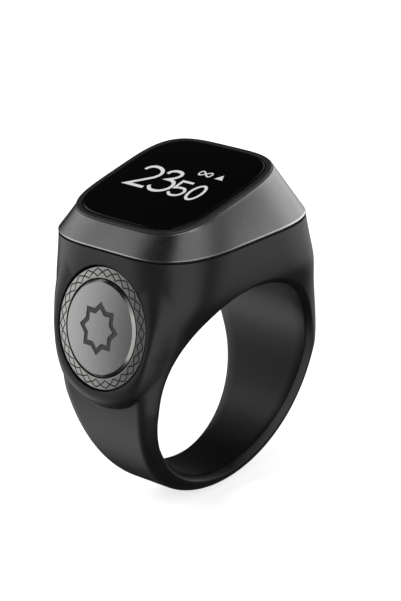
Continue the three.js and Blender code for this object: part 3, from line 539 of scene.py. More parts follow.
def lit_pixels():
    """Lit organic pixels behind the glass: an even cool light grey, with the pixel rows just showing."""
    material, tree, shader = finish_of("lit_oled_pixels", "#101010", 0, 0.2)
    shader.inputs["Emission Color"].default_value = linear("#e2e2e4")
    place = add(tree, "ShaderNodeTexCoord").outputs["Object"]
    # the pixels are 0.09 mm apart and their rows run across the display
    rows = add(
        tree,
        "ShaderNodeTexWave",
        {"Vector": place, "Scale": inverse(0.09) / 2 / math.pi},
        bands_direction="X",
    )
    vary(tree, shader, "Emission Strength", rows.outputs[1], 0.84, 0.94, span=(0, 1))
    return material


# What the inner pieces are made of: colours, metal share, roughness, and the grain's size and height in mm
INNER_FINISHES = {
    # nitrile gasket rubber, moulded: black and dull
    "moulded_nitrile": ("#0c0c0c", "#141414", 0, 0.75, 0.1, 0.004),
    # acrylic foam adhesive tape: black, slightly waxy
    "acrylic_tape": ("#101011", "#181819", 0, 0.6, 0.15, 0.003),
    # display laminate, polariser side up: blue-black gloss
    "display_laminate": ("#0a0d12", "#10151c", 0, 0.15, 1.5, 0.0005),
    # polyimide film with copper inside: amber gloss with darker traces
    "polyimide_film": ("#a35a16", "#c47a24", 0, 0.3, 0.6, 0.002),
    # glass-filled nylon, moulded: charcoal with pale fibre flecks
    "filled_nylon": ("#1a1a1c", "#262628", 0, 0.55, 0.12, 0.003),
    # epoxy board under green solder mask: glossy green over a fine weave
    "solder_mask": ("#0d4a28", "#156236", 0, 0.3, 0.4, 0.004),
    # moulded epoxy of the chips: dull charcoal, grainy
    "moulded_epoxy": ("#19191b", "#222224", 0, 0.65, 0.06, 0.002),
    # fired ceramic: warm white, faintly porous
    "fired_ceramic": ("#d9d3c4", "#e6e1d4", 0, 0.5, 0.08, 0.002),
    # liquid crystal polymer, moulded: cream with flow marks
    "crystal_polymer": ("#ddd6c2", "#e8e2d0", 0, 0.45, 0.5, 0.002),
    # laminated aluminium foil of the cell: silver with soft creases
    "laminated_foil": ("#a9abae", "#c2c4c6", 0.9, 0.35, 1.2, 0.02),
    # closed-cell foam: dark grey with small cells
    "closed_cell_foam": ("#1c1c1c", "#303030", 0, 0.9, 0.25, 0.03),
    # hard gold over nickel: bright yellow, polished
    "plated_gold": ("#c99b3c", "#dbb055", 1, 0.2, 0.05, 0.0006),
    # drawn and nickel-plated steel: bright grey with draw lines
    "drawn_steel": ("#a2a3a5", "#b4b5b7", 1, 0.3, 0.08, 0.001),
    # sintered tungsten alloy: dark grey and granular
    "sintered_tungsten": ("#565a5e", "#666a6e", 0.9, 0.5, 0.09, 0.004),
    # zinc-plated screw steel: cool grey with a faint bloom
    "zinc_plated_steel": ("#85888c", "#9a9da0", 1, 0.35, 0.1, 0.002),
    # moulded silicone: grey, rubbery sheen
    "moulded_silicone": ("#34343a", "#3e3e44", 0, 0.6, 0.3, 0.003),
    # polyamide of the switch: charcoal, semi-matte
    "moulded_polyamide": ("#1e1e20", "#29292b", 0, 0.5, 0.1, 0.002),
    # acetal of the plunger: milky white, slippery
    "turned_acetal": ("#d6d4ca", "#e2e0d8", 0, 0.35, 0.2, 0.001),
}

INNER_NODES = {
    "moulded_nitrile": ["bezel_seal"],
    "acrylic_tape": ["window_adhesive"],
    "display_laminate": ["oled_panel"],
    "polyimide_film": ["oled_flex", "charge_flex", "button_flex"],
    "filled_nylon": ["display_tray"],
    "solder_mask": ["main_board", "battery_protection", "motor_base"],
    "moulded_epoxy": ["processor_chip", "charger_chip", "motion_sensor"],
    "fired_ceramic": ["antenna_chip"],
    "crystal_polymer": ["flex_connector"],
    "laminated_foil": ["battery_cell"],
    "closed_cell_foam": ["battery_pad"],
    "plated_gold": ["charge_contact_front", "charge_contact_rear"],
    "drawn_steel": ["clock_crystal", "motor_case", "motor_shaft"],
    "sintered_tungsten": ["motor_rotor"],
    "zinc_plated_steel": ["board_screw_front", "board_screw_rear"],
    "moulded_silicone": ["button_seal"],
    "moulded_polyamide": ["switch_body"],
    "turned_acetal": ["switch_plunger"],
}


def inner_finish(name):
    first, second, metallic, roughness, size, height = INNER_FINISHES[name]
    material, tree, shader = finish_of(name, first, metallic, roughness)
    grain = grained(tree, shader, size, height)
    vary(tree, shader, "Base Color", grain, first, second)
    vary(tree, shader, "Roughness", grain, roughness * 0.85, roughness * 1.15)
    return material


def dress_nodes(finishes):
    for name, nodes in INNER_NODES.items():
        for node in nodes:
            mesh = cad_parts[node].data
            mesh.materials.clear()
            mesh.materials.append(finishes[name])


inner_finishes = {name: inner_finish(name) for name in INNER_FINISHES}
dress_nodes(inner_finishes)
shell_finish = moulded_shell()
bezel_finish = gunmetal("satin_gunmetal", 0.28, 0.0004)
edge_and_highlight_finish = bare_edge_with_painted_highlight()
ring_finish = satin_steel("bead_blasted_steel_ring", "#9f9e9c", "#a7a6a4", 0.3)
cap_finish = satin_steel("bead_blasted_steel_cap", "#a1a1a0", "#a7a7a6", 0.26)
bevel_finish = satin_steel("polished_steel_bevel", "#858382", "#8b8988", 0.16)
groove_and_painted_shade_finish = engraving_and_painted_shade()
mark_finish = etched_mark()
glass_finish = cover_glass()
frame_finish = lacquered_frame()
pixel_finish = lit_pixels()

# Shell: a fine skin on rays from the bore's axis, with the boss of the button run into it

FRONT_SPACING = 0.17
FRONT_STEPS = 106
FLANK_STEPS = 64
BORE_STEPS = 8
SKIN_SAMPLES = 300
SETTLING_ROUNDS = 60
CORNER_EASE = 0.08
LIP_ROUND = 0.09
# Rays up one shoulder, rays and far angle of the boss, and rays from there to the foot
SHOULDER_RAYS = 56
BOSS_RAYS = 163
BOSS_END = math.radians(206)
HEEL_RAYS = 43
FOOT_RAY_SPACING = 1.5
TOP_RAY_SPACING = math.radians(0.1)
# Distance from the button's middle within which the skin is raised to the boss
BOSS_ZONE = 9.5


def half_width_at(rise):
    """Half the width of the shoulder along the finger, at a share of the head's height."""
    values = np.zeros_like(rise)
    for (at, start, slope), (until, end, end_slope) in zip(DEPTH_FLARE, DEPTH_FLARE[1:]):
        span = until - at
        inside = (rise >= at) & (rise <= until)
        share = hermite((rise - at) / span, start, end, slope * span, end_slope * span)
        values = np.where(inside, share, values)
    return mix(BAND_HALF_WIDTH, HEAD_HALF_WIDTH, values)


def band_radius(dip):
    return BAND_RADIUS * (1 - BAND_FLARE * dip * (1 - dip) ** 2)


def shoulder_half_length(rise):
    return hermite(rise, BAND_RADIUS, HEAD_HALF_LENGTH, BAND_FLARE * SHELL_TOP, 0)


def skin_depth(angle, radius):
    """How far the skin lies from the middle of the finger on a ray, at each radius."""
    sine = math.sin(angle)
    if sine < 0:
        half_length = band_radius(-sine)
        half_width = mix(BAND_HALF_WIDTH, BAND_FOOT_HALF_WIDTH, -sine)
        corner_length = corner_width = BAND_EDGE_RADIUS
        power = 2
        reach = radius
    else:
        rise = np.minimum(radius * sine / SHELL_TOP, 1)
        half_length = shoulder_half_length(rise)
        half_width = half_width_at(rise)
        spread = rise**2 * (1 + CORNER_EASE) / (rise + CORNER_EASE)
        corner_length = mix(BAND_EDGE_RADIUS, half_length - HEAD_FLAT, spread)
        corner_width = mix(BAND_EDGE_RADIUS, half_width - HEAD_FLAT, spread)
        power = mix(2, HEAD_CORNER_POWER, spread)
        reach = np.abs(radius * math.cos(angle))
    share = np.clip((reach - (half_length - corner_length)) / corner_length, 0, 1)
    fall = (1 - share**power) ** (1 / power)
    return half_width - corner_width * (1 - fall)


def skin_radius(angle):
    sine = math.sin(angle)
    if sine < 0:
        return band_radius(-sine)
    top = SHELL_TOP / max(sine, 1e-9)
    radius = BAND_RADIUS
    for _ in range(SETTLING_ROUNDS):
        rise = min(radius * sine / SHELL_TOP, 1)
        radius = min(shoulder_half_length(rise) / max(abs(math.cos(angle)), 1e-9), top)
    return radius


def ray_angles():
    """Angles of the rays, closest together where the boss and the head's corners need it."""
    corner = math.atan2(SHELL_TOP, HEAD_HALF_LENGTH)
    top = []
    for x in head_outline(0)[: FINE_STEPS + 1, 0]:
        angle = math.atan2(SHELL_TOP, x)
        if angle > (top[-1] if top else corner) + TOP_RAY_SPACING:
            top.append(angle)
    middle = [a for a in top if a < math.pi / 2 - 0.002]
    right = np.radians(np.arange(-90, 0, FOOT_RAY_SPACING)).tolist()
    right += np.linspace(0, corner, SHOULDER_RAYS + 1).tolist()
    left = np.linspace(math.pi - corner, BOSS_END, BOSS_RAYS + 1).tolist()
    left += np.linspace(BOSS_END, math.radians(270), HEEL_RAYS + 1)[1:-1].tolist()
    return right + middle + [math.pi / 2] + [math.pi - a for a in middle[::-1]] + left


def softened(points, size):
    """A polyline whose inner corners are each rounded off within the given distance."""
    result = [points[0]]
    for before, corner, after in zip(points, points[1:], points[2:]):
        into = before - corner
        out = after - corner
        start = corner + into * min(size / np.linalg.norm(into), 0.45)
        end = corner + out * min(size / np.linalg.norm(out), 0.45)
        for t in (0, 0.5, 1):
            result.append(start * (1 - t) ** 2 + corner * 2 * t * (1 - t) + end * t**2)
    result.append(points[-1])
    return np.array(result)


def wall_loop(angle):
    """One closed loop round the wall on a ray, as radius and depth: skin first, then lips and bore."""
    lip = BORE_RADIUS + LIP_WIDTH
    edge = skin_radius(angle)
    radius = mix(lip, edge, np.sin(np.linspace(0, math.pi / 2, SKIN_SAMPLES)))
    front = np.stack([radius, -skin_depth(angle, radius)], 1)
    front = even_points(front, FRONT_STEPS, FRONT_SPACING)
    flank = np.linspace(front[-1, 1], -front[-1, 1], FLANK_STEPS + 1)[1:-1]
    flank = np.stack([np.full(len(flank), edge), flank], 1)
    back = front[::-1] * (1, -1)
    bore_depth = -front[0, 1] - LIP_DEPTH
    bore = np.linspace(bore_depth, -bore_depth, BORE_STEPS + 1)
    bore = np.stack([np.full(len(bore), float(BORE_RADIUS)), bore], 1)
    inside = softened(np.concatenate([back[-2:], bore, front[:2]]), LIP_ROUND)
    skin = np.concatenate([front[1:], flank, back[:-1]])
    return np.concatenate([skin, inside[1:-1]]), len(skin)


def with_boss(points):
    """Skin points raised to the plane of the button's face near the button, and less so further out."""
    local = placed(points, BUTTON.inverted())
    radius = np.hypot(local[:, 0], local[:, 1])
    angle = np.degrees(np.arctan2(np.abs(local[:, 1]), local[:, 0]))
    reach = np.interp(angle, BOSS_ANGLES, BOSS_RADII)
    gentleness = np.interp(angle, BOSS_ANGLES, BOSS_GENTLENESS)
    step = np.clip((radius - BOSS_FACE_RADIUS) / (reach - BOSS_FACE_RADIUS), 0, 1)
    share = (1 - step**2) ** gentleness
    local[:, 2] -= np.minimum(local[:, 2], 0) * share
    return placed(local, BUTTON)


def shell_skin():
    loops = []
    for angle in ray_angles():
        loop, skin_count = wall_loop(angle)
        radius, depth = loop.T
        loops.append(np.stack([radius * math.cos(angle), depth, radius * math.sin(angle)], 1))
    grid = np.array(loops)
    centre = np.array(BUTTON.translation)
    chosen = np.zeros(grid.shape[:2], bool)
    chosen[:, :skin_count] = True
    chosen &= np.linalg.norm(grid - centre, axis=2) < BOSS_ZONE
    grid[chosen] = with_boss(grid[chosen])
    faces = faces_between(len(loops), grid.shape[1], True)
    return merged(make_piece("shell_moulding", grid.reshape(-1, 3), faces))


def shell_cutters():
    upper = head_outline(HEAD_WALL)
    bay = outline((BAY_SPAN[1] - BAY_SPAN[0]) / 2, BAY_HALF_WIDTH, BAY_CORNER, BAY_CORNER, 2, 16)
    bay += ((BAY_SPAN[0] + BAY_SPAN[1]) / 2, 0)
    roof = turned(
        "roof",
        [(FLOOR_RADIUS, -HEAD_HALF_WIDTH), (FLOOR_RADIUS, HEAD_HALF_WIDTH)],
        Matrix.Rotation(math.pi / 2, 4, "X"),
        ROUND_STEPS,
    )
    bay_block = loft("bay", [lifted(bay, BAY_FLOOR), lifted(bay, SHELF_HEIGHT + OVERCUT)])
    end = BUTTON @ Vector((BUTTON_RISE, 0, SWITCH_POCKET_FLOOR))
    cutters = [
        loft("upper", [lifted(upper, SHELF_HEIGHT), lifted(upper, SHELL_TOP + OVERCUT)]),
        carve(bay_block, [roof]),
        block(
            "passage",
            (end.x - PASSAGE_OUTWARD, PASSAGE_INNER_END),
            (-PASSAGE_HALF_WIDTH, PASSAGE_HALF_WIDTH),
            (end.z - PASSAGE_BELOW, end.z + PASSAGE_ABOVE),
        ),
        turned(
            "ring_pocket",
            [(RING_POCKET_RADIUS, RING_POCKET_FLOOR)]
            + [(RING_POCKET_RADIUS + out, height) for out, height in RING_POCKET_EDGE]
            + [(RING_POCKET_RADIUS + RING_POCKET_EDGE[-1][0], OVERCUT)],
            BUTTON,
            ROUND_STEPS,
        ),
        turned(
            "flange_pocket",
            [(FLANGE_POCKET_RADIUS, FLANGE_POCKET_FLOOR), (FLANGE_POCKET_RADIUS, 0)],
            BUTTON,
            ROUND_STEPS // 2,
        ),
        block(
            "switch_pocket",
            (-PASSAGE_HALF_WIDTH, BUTTON_RISE),
            (-PASSAGE_HALF_WIDTH, PASSAGE_HALF_WIDTH),
            (SWITCH_POCKET_FLOOR, RING_POCKET_FLOOR + OVERCUT / 2),
            BUTTON,
        ),
    ]
    for side in (-1, 1):
        hole = Matrix.Translation((0, side * CONTACT_SPACING / 2, 0))
        radius = CONTACT_RADIUS + CONTACT_CLEARANCE
        heights = [(radius, height) for height in CONTACT_HOLE]
        cutters.append(turned("contact_hole", heights, hole, ROUND_STEPS // 4))
        hole = Matrix.Translation((SCREW_PLACE[0], side * SCREW_PLACE[1], 0))
        depths = [(SCREW_HOLE_RADIUS, SCREW_HOLE_BOTTOM), (SCREW_HOLE_RADIUS, SHELF_HEIGHT + OVERCUT)]
        cutters.append(turned("screw_hole", depths, hole, ROUND_STEPS // 8))
    return cutters


shell = polish(wear(carve(shell_skin(), shell_cutters()), shell_finish))
fit(shell, "ring", "shell_plastic", "ring_shell")

# Bezel, its seal, the dark frame and the window

QUARTER_TURN = [math.radians(a) for a in (0, 22.5, 45, 67.5, 90)]
BEZEL_STEPS = 12
# Bare cut edge, widened above the chamfer into a painted highlight: where it starts, as a share of the
# chamfer, and its width as a share of the wedge's face
EDGE_AND_HIGHLIGHT_START = -0.8
EDGE_AND_HIGHLIGHT_SHARE = 0.032
THROUGH_BOTTOM = -8.6
SEAL_CLEARANCE = 0.03
FRAME_CLEARANCE = 0.03
FRAME_INNER_EDGE = 0.05
GLASS_FOOT_EDGE = 0.05


def tilted(points, height):
    return placed(lifted(points, height), DISPLAY)


def bezel_body():
    rings = [
        lifted(head_outline(SPIGOT_INSET), BEZEL_BASE - SPIGOT_DEPTH),
        lifted(head_outline(SPIGOT_INSET), BEZEL_BASE),
    ]
    for turn in QUARTER_TURN:
        inset = BEZEL_CHAMFER * (1 - math.sin(turn))
        rings.append(lifted(head_outline(inset), BEZEL_BASE + BEZEL_CHAMFER * (1 - math.cos(turn))))
    foot = rings[-1]
    rim = tilted(rim_outline(0), -RIM_DROP - RIM_EDGE)
    shares = [EDGE_AND_HIGHLIGHT_SHARE] + np.linspace(0, 1, BEZEL_STEPS + 1)[1:-1].tolist()
    rings += [mix(foot, rim, share) for share in shares]
    for turn in QUARTER_TURN:
        inset = RIM_EDGE * (1 - math.cos(turn))
        rings.append(tilted(rim_outline(inset), -RIM_DROP - RIM_EDGE * (1 - math.sin(turn))))
    body = loft("bezel_wedge", rings, None, bezel_finish)
    pocket = glass_outline(-GLASS_GAP)
    through = glass_outline(LEDGE_WIDTH)
    hollow = head_outline(SPIGOT_INSET + SPIGOT_WALL)
    hollow_rings = [lifted(hollow, BEZEL_BASE - 2 * OVERCUT), lifted(hollow, BEZEL_BASE + BEZEL_HOLLOW)]
    cutters = [
        loft("pocket", [lifted(pocket, LEDGE_HEIGHT), lifted(pocket, OVERCUT)], DISPLAY),
        loft("through", [lifted(through, THROUGH_BOTTOM), lifted(through, OVERCUT)], DISPLAY),
        loft("hollow", hollow_rings, None),
    ]
    carve(body, cutters)
    # The chamfer and a thin strip of the face above it take the lighter bare-edge finish: a real cut edge on
    # the chamfer, painted highlight on the strip
    body.data.materials.append(edge_and_highlight_finish)
    for face in body.data.polygons:
        x, y, z = face.center / MM
        rise = z - BEZEL_BASE - BEZEL_CHAMFER
        rim_height = (DISPLAY @ Vector((x, y, -RIM_DROP))).z - BEZEL_BASE - BEZEL_CHAMFER
        outside = face.normal.dot(Vector((x, y, 0))) > 0
        if outside and EDGE_AND_HIGHLIGHT_START * BEZEL_CHAMFER < rise < EDGE_AND_HIGHLIGHT_SHARE * rim_height:
            face.material_index = 1
    return polish(body)


def seal_rings():
    outside = head_outline(BEZEL_CHAMFER)
    inside = head_outline(HEAD_WALL - 0.1)
    low = SHELL_TOP + SEAL_CLEARANCE
    high = BEZEL_BASE - SEAL_CLEARANCE
    return [lifted(outside, low), lifted(outside, high), lifted(inside, high), lifted(inside, low)]


fit(bezel_body(), "ring", "bezel_metal", "bezel")
seal = polish(collar("seam_seal", seal_rings(), None, inner_finishes["moulded_nitrile"]))
fit(seal, "ring", "black_rubber", "bezel_seal")


def frame_rings():
    foot = FRAME_CLEARANCE - RIM_DROP
    rings = [lifted(rim_outline(RIM_EDGE), foot)]
    for turn in QUARTER_TURN:
        inset = RIM_EDGE + FRAME_EDGE * (1 - math.cos(turn))
        rings.append(lifted(rim_outline(inset), FRAME_PROUD - FRAME_EDGE * (1 - math.sin(turn))))
    for turn in QUARTER_TURN:
        inset = -GLASS_GAP - FRAME_INNER_EDGE * (1 - math.sin(turn))
        rings.append(lifted(glass_outline(inset), FRAME_PROUD - FRAME_INNER_EDGE * (1 - math.cos(turn))))
    rings.append(lifted(glass_outline(-GLASS_GAP), foot))
    return rings


window_band = polish(collar("window_band", frame_rings(), DISPLAY, frame_finish))
fit(window_band, "ring", "frame_plastic", "window_frame")


def glass_rings():
    rings = [
        lifted(glass_outline(GLASS_FOOT_EDGE), GLASS_BOTTOM),
        lifted(glass_outline(0), GLASS_BOTTOM + GLASS_FOOT_EDGE),
    ]
    for turn in np.linspace(0, math.pi / 2, 9):
        inset = GLASS_EDGE * (1 - math.cos(turn))
        rings.append(lifted(glass_outline(inset), GLASS_TOP - GLASS_EDGE * (1 - math.sin(turn))))
    return rings


cover_pane = polish(loft("cover_pane", glass_rings(), DISPLAY, glass_finish))
fit(cover_pane, "ring", "cover_glass", "display_window")

# Button ring with its engraved lattice, made by a geometry tree

ARCHES = 26
ARCH_STEPS = 24
ARCH_LEAN = 0.8
ARCH_MARGIN = 0.13
GROOVE_RADIUS = 0.068
GROOVE_RISE = 0.016
GROOVE_SIDES = 8
RING_DROP = 0.1
# Dark line between the ring and the shell: a rebate turned into the ring's outer edge, its walls darkened as
# painted shade
REBATE_WIDTH = 0.08
REBATE_DEPTH = 0.4
EDGE_ROUND = 0.05
EDGE_HOLD = 0.02
# Sums of a strand: name, operation and terms, each a number, an input's name or an earlier sum's
STRAND_SUMS = [
    ("spacing", "DIVIDE", 2 * math.pi, "Arches"),
    ("distance", "ABSOLUTE", "along"),
    ("nearness", "SUBTRACT", 1, "distance"),
    ("climb", "POWER", "nearness", ARCH_LEAN),
    ("width", "SUBTRACT", "Outer Radius", "Inner Radius"),
    ("radius", "MULTIPLY_ADD", "climb", "width", "Inner Radius"),
    ("angle", "MULTIPLY", "along", "spacing"),
    ("cosine", "COSINE", "angle"),
    ("sine", "SINE", "angle"),
    ("across", "MULTIPLY", "radius", "cosine"),
    ("sideways", "MULTIPLY", "radius", "sine"),
    ("fall", "MULTIPLY", "climb", "Drop"),
    ("height", "SUBTRACT", "Rise", "fall"),
    ("turn", "MULTIPLY", "index", "spacing"),
]


def arch_tree():
    """Pointed arches round a circle: each strand leans from one foot over its apex to the other."""
    tree = bpy.data.node_groups.new("lattice_of_arches", "GeometryNodeTree")
    sockets = [
        ("Arches", "NodeSocketInt"),
        ("Inner Radius", "NodeSocketFloat"),
        ("Outer Radius", "NodeSocketFloat"),
        ("Strand Radius", "NodeSocketFloat"),
        ("Rise", "NodeSocketFloat"),
        ("Drop", "NodeSocketFloat"),
        ("Finish", "NodeSocketMaterial"),
    ]
    for name, kind in sockets:
        tree.interface.new_socket(name, in_out="INPUT", socket_type=kind)
    tree.interface.new_socket("Geometry", in_out="OUTPUT", socket_type="NodeSocketGeometry")
    given = add(tree, "NodeGroupInput").outputs
    line = add(tree, "GeometryNodeCurvePrimitiveLine", {"Start": (-1, 0, 0), "End": (1, 0, 0)})
    steps = add(tree, "GeometryNodeResampleCurve", {"Curve": line.outputs[0], "Count": ARCH_STEPS + 1})
    place = add(tree, "GeometryNodeInputPosition").outputs[0]
    values = {socket.name: socket for socket in given}
    values["along"] = add(tree, "ShaderNodeSeparateXYZ", {0: place}).outputs["X"]
    values["index"] = add(tree, "GeometryNodeInputIndex").outputs[0]
    for name, operation, *terms in STRAND_SUMS:
        links = {k: values.get(term, term) for k, term in enumerate(terms)}
        values[name] = add(tree, "ShaderNodeMath", links, operation=operation).outputs[0]
    links = {"X": values["across"], "Y": values["sideways"], "Z": values["height"]}
    spot = add(tree, "ShaderNodeCombineXYZ", links)
    bent = add(tree, "GeometryNodeSetPosition", {"Geometry": steps.outputs[0], "Position": spot.outputs[0]})
    links = {"Resolution": GROOVE_SIDES, "Radius": given["Strand Radius"]}
    section = add(tree, "GeometryNodeCurvePrimitiveCircle", links)
    strand = add(
        tree,
        "GeometryNodeCurveToMesh",
        {"Curve": bent.outputs[0], "Profile Curve": section.outputs[0], "Fill Caps": True},
    )
    seats = add(tree, "GeometryNodePoints", {"Count": given["Arches"]})
    copies = add(
        tree,
        "GeometryNodeInstanceOnPoints",
        {
            "Points": seats.outputs[0],
            "Instance": strand.outputs[0],
            "Rotation": add(tree, "ShaderNodeCombineXYZ", {"Z": values["turn"]}).outputs[0],
        },
    )
    real = add(tree, "GeometryNodeRealizeInstances", {"Geometry": copies.outputs[0]})
    links = {"Geometry": real.outputs[0], "Material": given["Finish"]}
    dressed = add(tree, "GeometryNodeSetMaterial", links)
    add(tree, "NodeGroupOutput", {"Geometry": dressed.outputs[0]})
    return tree


def grown(name, tree, **inputs):
    """A piece made by a geometry tree with the given inputs, as a plain mesh."""
    piece = make_piece(name, np.zeros((0, 3)), [])
    modifier = piece.modifiers.new("tree", "NODES")
    modifier.node_group = tree
    for socket in tree.interface.items_tree:
        if socket.in_out == "INPUT":
            modifier[socket.identifier] = inputs[socket.name.replace(" ", "_")]
    settle(piece)
    return piece


def button_band():
    face_radius = RING_RADIUS - REBATE_WIDTH
    face_outer = face_radius - EDGE_ROUND
    face_inner = RING_BORE + EDGE_ROUND
    slope = RING_DROP / (face_outer - face_inner)
    profile = [
        (RING_RADIUS, -RING_THICKNESS),
        (RING_RADIUS, -REBATE_DEPTH),
        (face_radius, -REBATE_DEPTH),
        (face_radius, -RING_DROP - EDGE_ROUND),
        (face_radius - EDGE_ROUND * 0.3, -RING_DROP - EDGE_ROUND * 0.3),
        (face_outer, -RING_DROP),
        (face_outer - EDGE_HOLD, -RING_DROP + slope * EDGE_HOLD),
        (face_inner + EDGE_HOLD, -slope * EDGE_HOLD),
        (face_inner, 0),
        (RING_BORE + EDGE_ROUND * 0.3, -EDGE_ROUND * 0.3),
        (RING_BORE, -EDGE_ROUND),
        (RING_BORE, -RING_THICKNESS),
    ]
    band = collar("lattice_ring", [circle(r, h, ROUND_STEPS) for r, h in profile], None, ring_finish)
    band.data.materials.append(groove_and_painted_shade_finish)
    # The walls below the ring's face, the rebate and the bore, take the dark engraved finish as painted
    # shade in the gaps
    for face in band.data.polygons:
        if face.center.z < -(RING_DROP + EDGE_ROUND) * MM:
            face.material_index = 1
    lattice = grown(
        "lattice",
        arch_tree(),
        Arches=ARCHES,
        Inner_Radius=(RING_BORE + ARCH_MARGIN) * MM,
        Outer_Radius=(RING_RADIUS - REBATE_WIDTH - ARCH_MARGIN) * MM,
        Strand_Radius=GROOVE_RADIUS * MM,
        Rise=GROOVE_RISE * MM,
        Drop=RING_DROP * MM,
        Finish=groove_and_painted_shade_finish,
    )
    engraving = band.modifiers.new("engraving", "BOOLEAN")
    engraving.operation = "DIFFERENCE"
    engraving.solver = "EXACT"
    engraving.use_self = True
    engraving.material_mode = "TRANSFER"
    engraving.object = lattice
    settle(band)
    bpy.data.objects.remove(lattice)
    return band


band = button_band()
band.data.transform(BUTTON_SEAT)
fit(polish(band), "ring", "button_ring_metal", "button_ring")

# Press cap with a satin face, a polished bevel and an etched eight-point star

BEVEL_WIDTH = 0.27
BEVEL_DEPTH = 0.235
CROWN = 0.15
CROWN_TOP = 0.375
CROWN_STEPS = 12
CROWN_CORE = 0.1
# Shares of the normal along the button at which the skirt ends and the face starts
SKIRT_SHARE = 0.2
FACE_SHARE = 0.97
STAR_RADIUS = 2.55
STAR_STROKE = 0.5
STAR_DEPTH = 0.03


def star(radius):
    """Outline of two crossed squares."""
    dent = radius * math.cos(math.pi / 4) / math.cos(math.pi / 8)
    angle = np.arange(16) * math.pi / 8
    reach = np.where(np.arange(16) % 2 == 0, radius, dent)
    return np.stack([reach * np.cos(angle), reach * np.sin(angle)], 1)


def press_cap():
    face_radius = CAP_RADIUS - BEVEL_WIDTH
    face_edge = CROWN_TOP - CROWN
    profile = [
        (NUB_RADIUS, NUB_BOTTOM),
        (NUB_RADIUS, CAP_FLANGE[0]),
        (CAP_FLANGE_RADIUS, CAP_FLANGE[0]),
        (CAP_FLANGE_RADIUS, CAP_FLANGE[1]),
        (CAP_RADIUS, CAP_FLANGE[1]),
        (CAP_RADIUS, face_edge - BEVEL_DEPTH - 0.03),
        (CAP_RADIUS - 0.01, face_edge - BEVEL_DEPTH),
        (face_radius + 0.02, face_edge - 0.01),
    ]
    for share in np.linspace(1, CROWN_CORE, CROWN_STEPS):
        profile.append((face_radius * share, CROWN_TOP - CROWN * share**2))
    body = turned("press_cap", profile, None, ROUND_STEPS, cap_finish)
    body.data.materials.append(bevel_finish)
    body.data.materials.append(groove_and_painted_shade_finish)
    for face in body.data.polygons:
        # The cap's skirt, its side in the narrow gap to the ring, takes the dark engraved finish as painted
        # shade
        if abs(face.normal.z) < SKIRT_SHARE:
            face.material_index = 2
        elif abs(face.normal.z) < FACE_SHARE:
            face.material_index = 1
    inner_radius = STAR_RADIUS - STAR_STROKE / math.cos(math.pi / 4)
    floor = CROWN_TOP - CROWN * (STAR_RADIUS / face_radius) ** 2 - STAR_DEPTH
    rings = [
        lifted(star(STAR_RADIUS), floor),
        lifted(star(STAR_RADIUS), OVERCUT),
        lifted(star(inner_radius), OVERCUT),
        lifted(star(inner_radius), floor),
    ]
    mark = collar("star", rings, None, mark_finish)
    etching = body.modifiers.new("etching", "BOOLEAN")
    etching.operation = "DIFFERENCE"
    etching.solver = "EXACT"
    etching.material_mode = "TRANSFER"
    etching.object = mark
    settle(body)
    bpy.data.objects.remove(mark)
    return body


cap = press_cap()
cap.data.transform(BUTTON_SEAT)
fit(polish(cap, 12), "button", "button_cap_metal", "button_cap")

# Signs on the display, as lines of light

GLOW_BOTTOM = GLASS_TOP - 0.01
GLOW_TOP = GLASS_TOP + 0.008
STROKE = 0.37
SMALL_STROKE = STROKE * 0.8
MARK_STROKE = STROKE * 0.42


def arc(centre_x, centre_y, radius_x, radius_y, start, end, steps=16):
    angle = np.radians(np.linspace(start, end, steps + 1))
    return np.stack([centre_x + radius_x * np.cos(angle), centre_y + radius_y * np.sin(angle)], 1)


def stroke(points, width, closed=False):
    """Left and right sides of a line of the given width."""
    first = points[-1:] if closed else 2 * points[:1] - points[1:2]
    last = points[:1] if closed else 2 * points[-1:] - points[-2:-1]
    line = np.concatenate([first, points, last])
    step = np.diff(line, axis=0)
    step /= np.linalg.norm(step, axis=1, keepdims=True)
    side = np.stack([-step[:, 1], step[:, 0]], 1)
    mitre = side[:-1] + side[1:]
    mitre /= np.sum(mitre * side[:-1], axis=1, keepdims=True)
    return points + mitre * width / 2, points - mitre * width / 2


def glow_stroke(points, width, closed=False):
    """Points and faces of a thin raised line on the window, in the display's frame."""
    left, right = stroke(points, width, closed)
    count = len(points)
    flat = np.concatenate([left, right])
    spots = np.concatenate([lifted(flat, GLOW_BOTTOM), lifted(flat, GLOW_TOP)])
    spots = np.stack([spots[:, 1], -spots[:, 0], spots[:, 2]], 1)
    pairs = count if closed else count - 1
    faces = []
    for i in range(pairs):
        j = (i + 1) % count
        a, b, c, d = i, j, count + j, count + i
        top = 2 * count
        faces += [[a, b, c, d], [d + top, c + top, b + top, a + top]]
        faces += [[b, a, a + top, b + top], [d, c, c + top, d + top]]
    if not closed:
        top = 2 * count
        last = count - 1
        faces += [[0, count, count + top, top], [count + last, last, last + top, count + last + top]]
    return spots, faces


def sign_piece(name, strokes, solids=()):
    points = []
    faces = []
    for line, width, closed in strokes:
        spots, quads = glow_stroke(np.asarray(line, float), width, closed)
        start = sum(len(p) for p in points)
        points.append(spots)
        faces += [[start + k for k in face] for face in quads]
    for polygon in solids:
        polygon = np.asarray(polygon, float)
        start = sum(len(p) for p in points)
        count = len(polygon)
        spots = np.concatenate([lifted(polygon, GLOW_BOTTOM), lifted(polygon, GLOW_TOP)])
        points.append(np.stack([spots[:, 1], -spots[:, 0], spots[:, 2]], 1))
        faces.append([start + k for k in range(count)])
        faces.append([start + count + k for k in range(count)][::-1])
        for k in range(count):
            j = (k + 1) % count
            faces.append([start + j, start + k, start + count + k, start + count + j])
    piece = make_piece(name, placed(np.concatenate(points), DISPLAY), faces, pixel_finish)
    return fit(piece, "ring", "display_module")


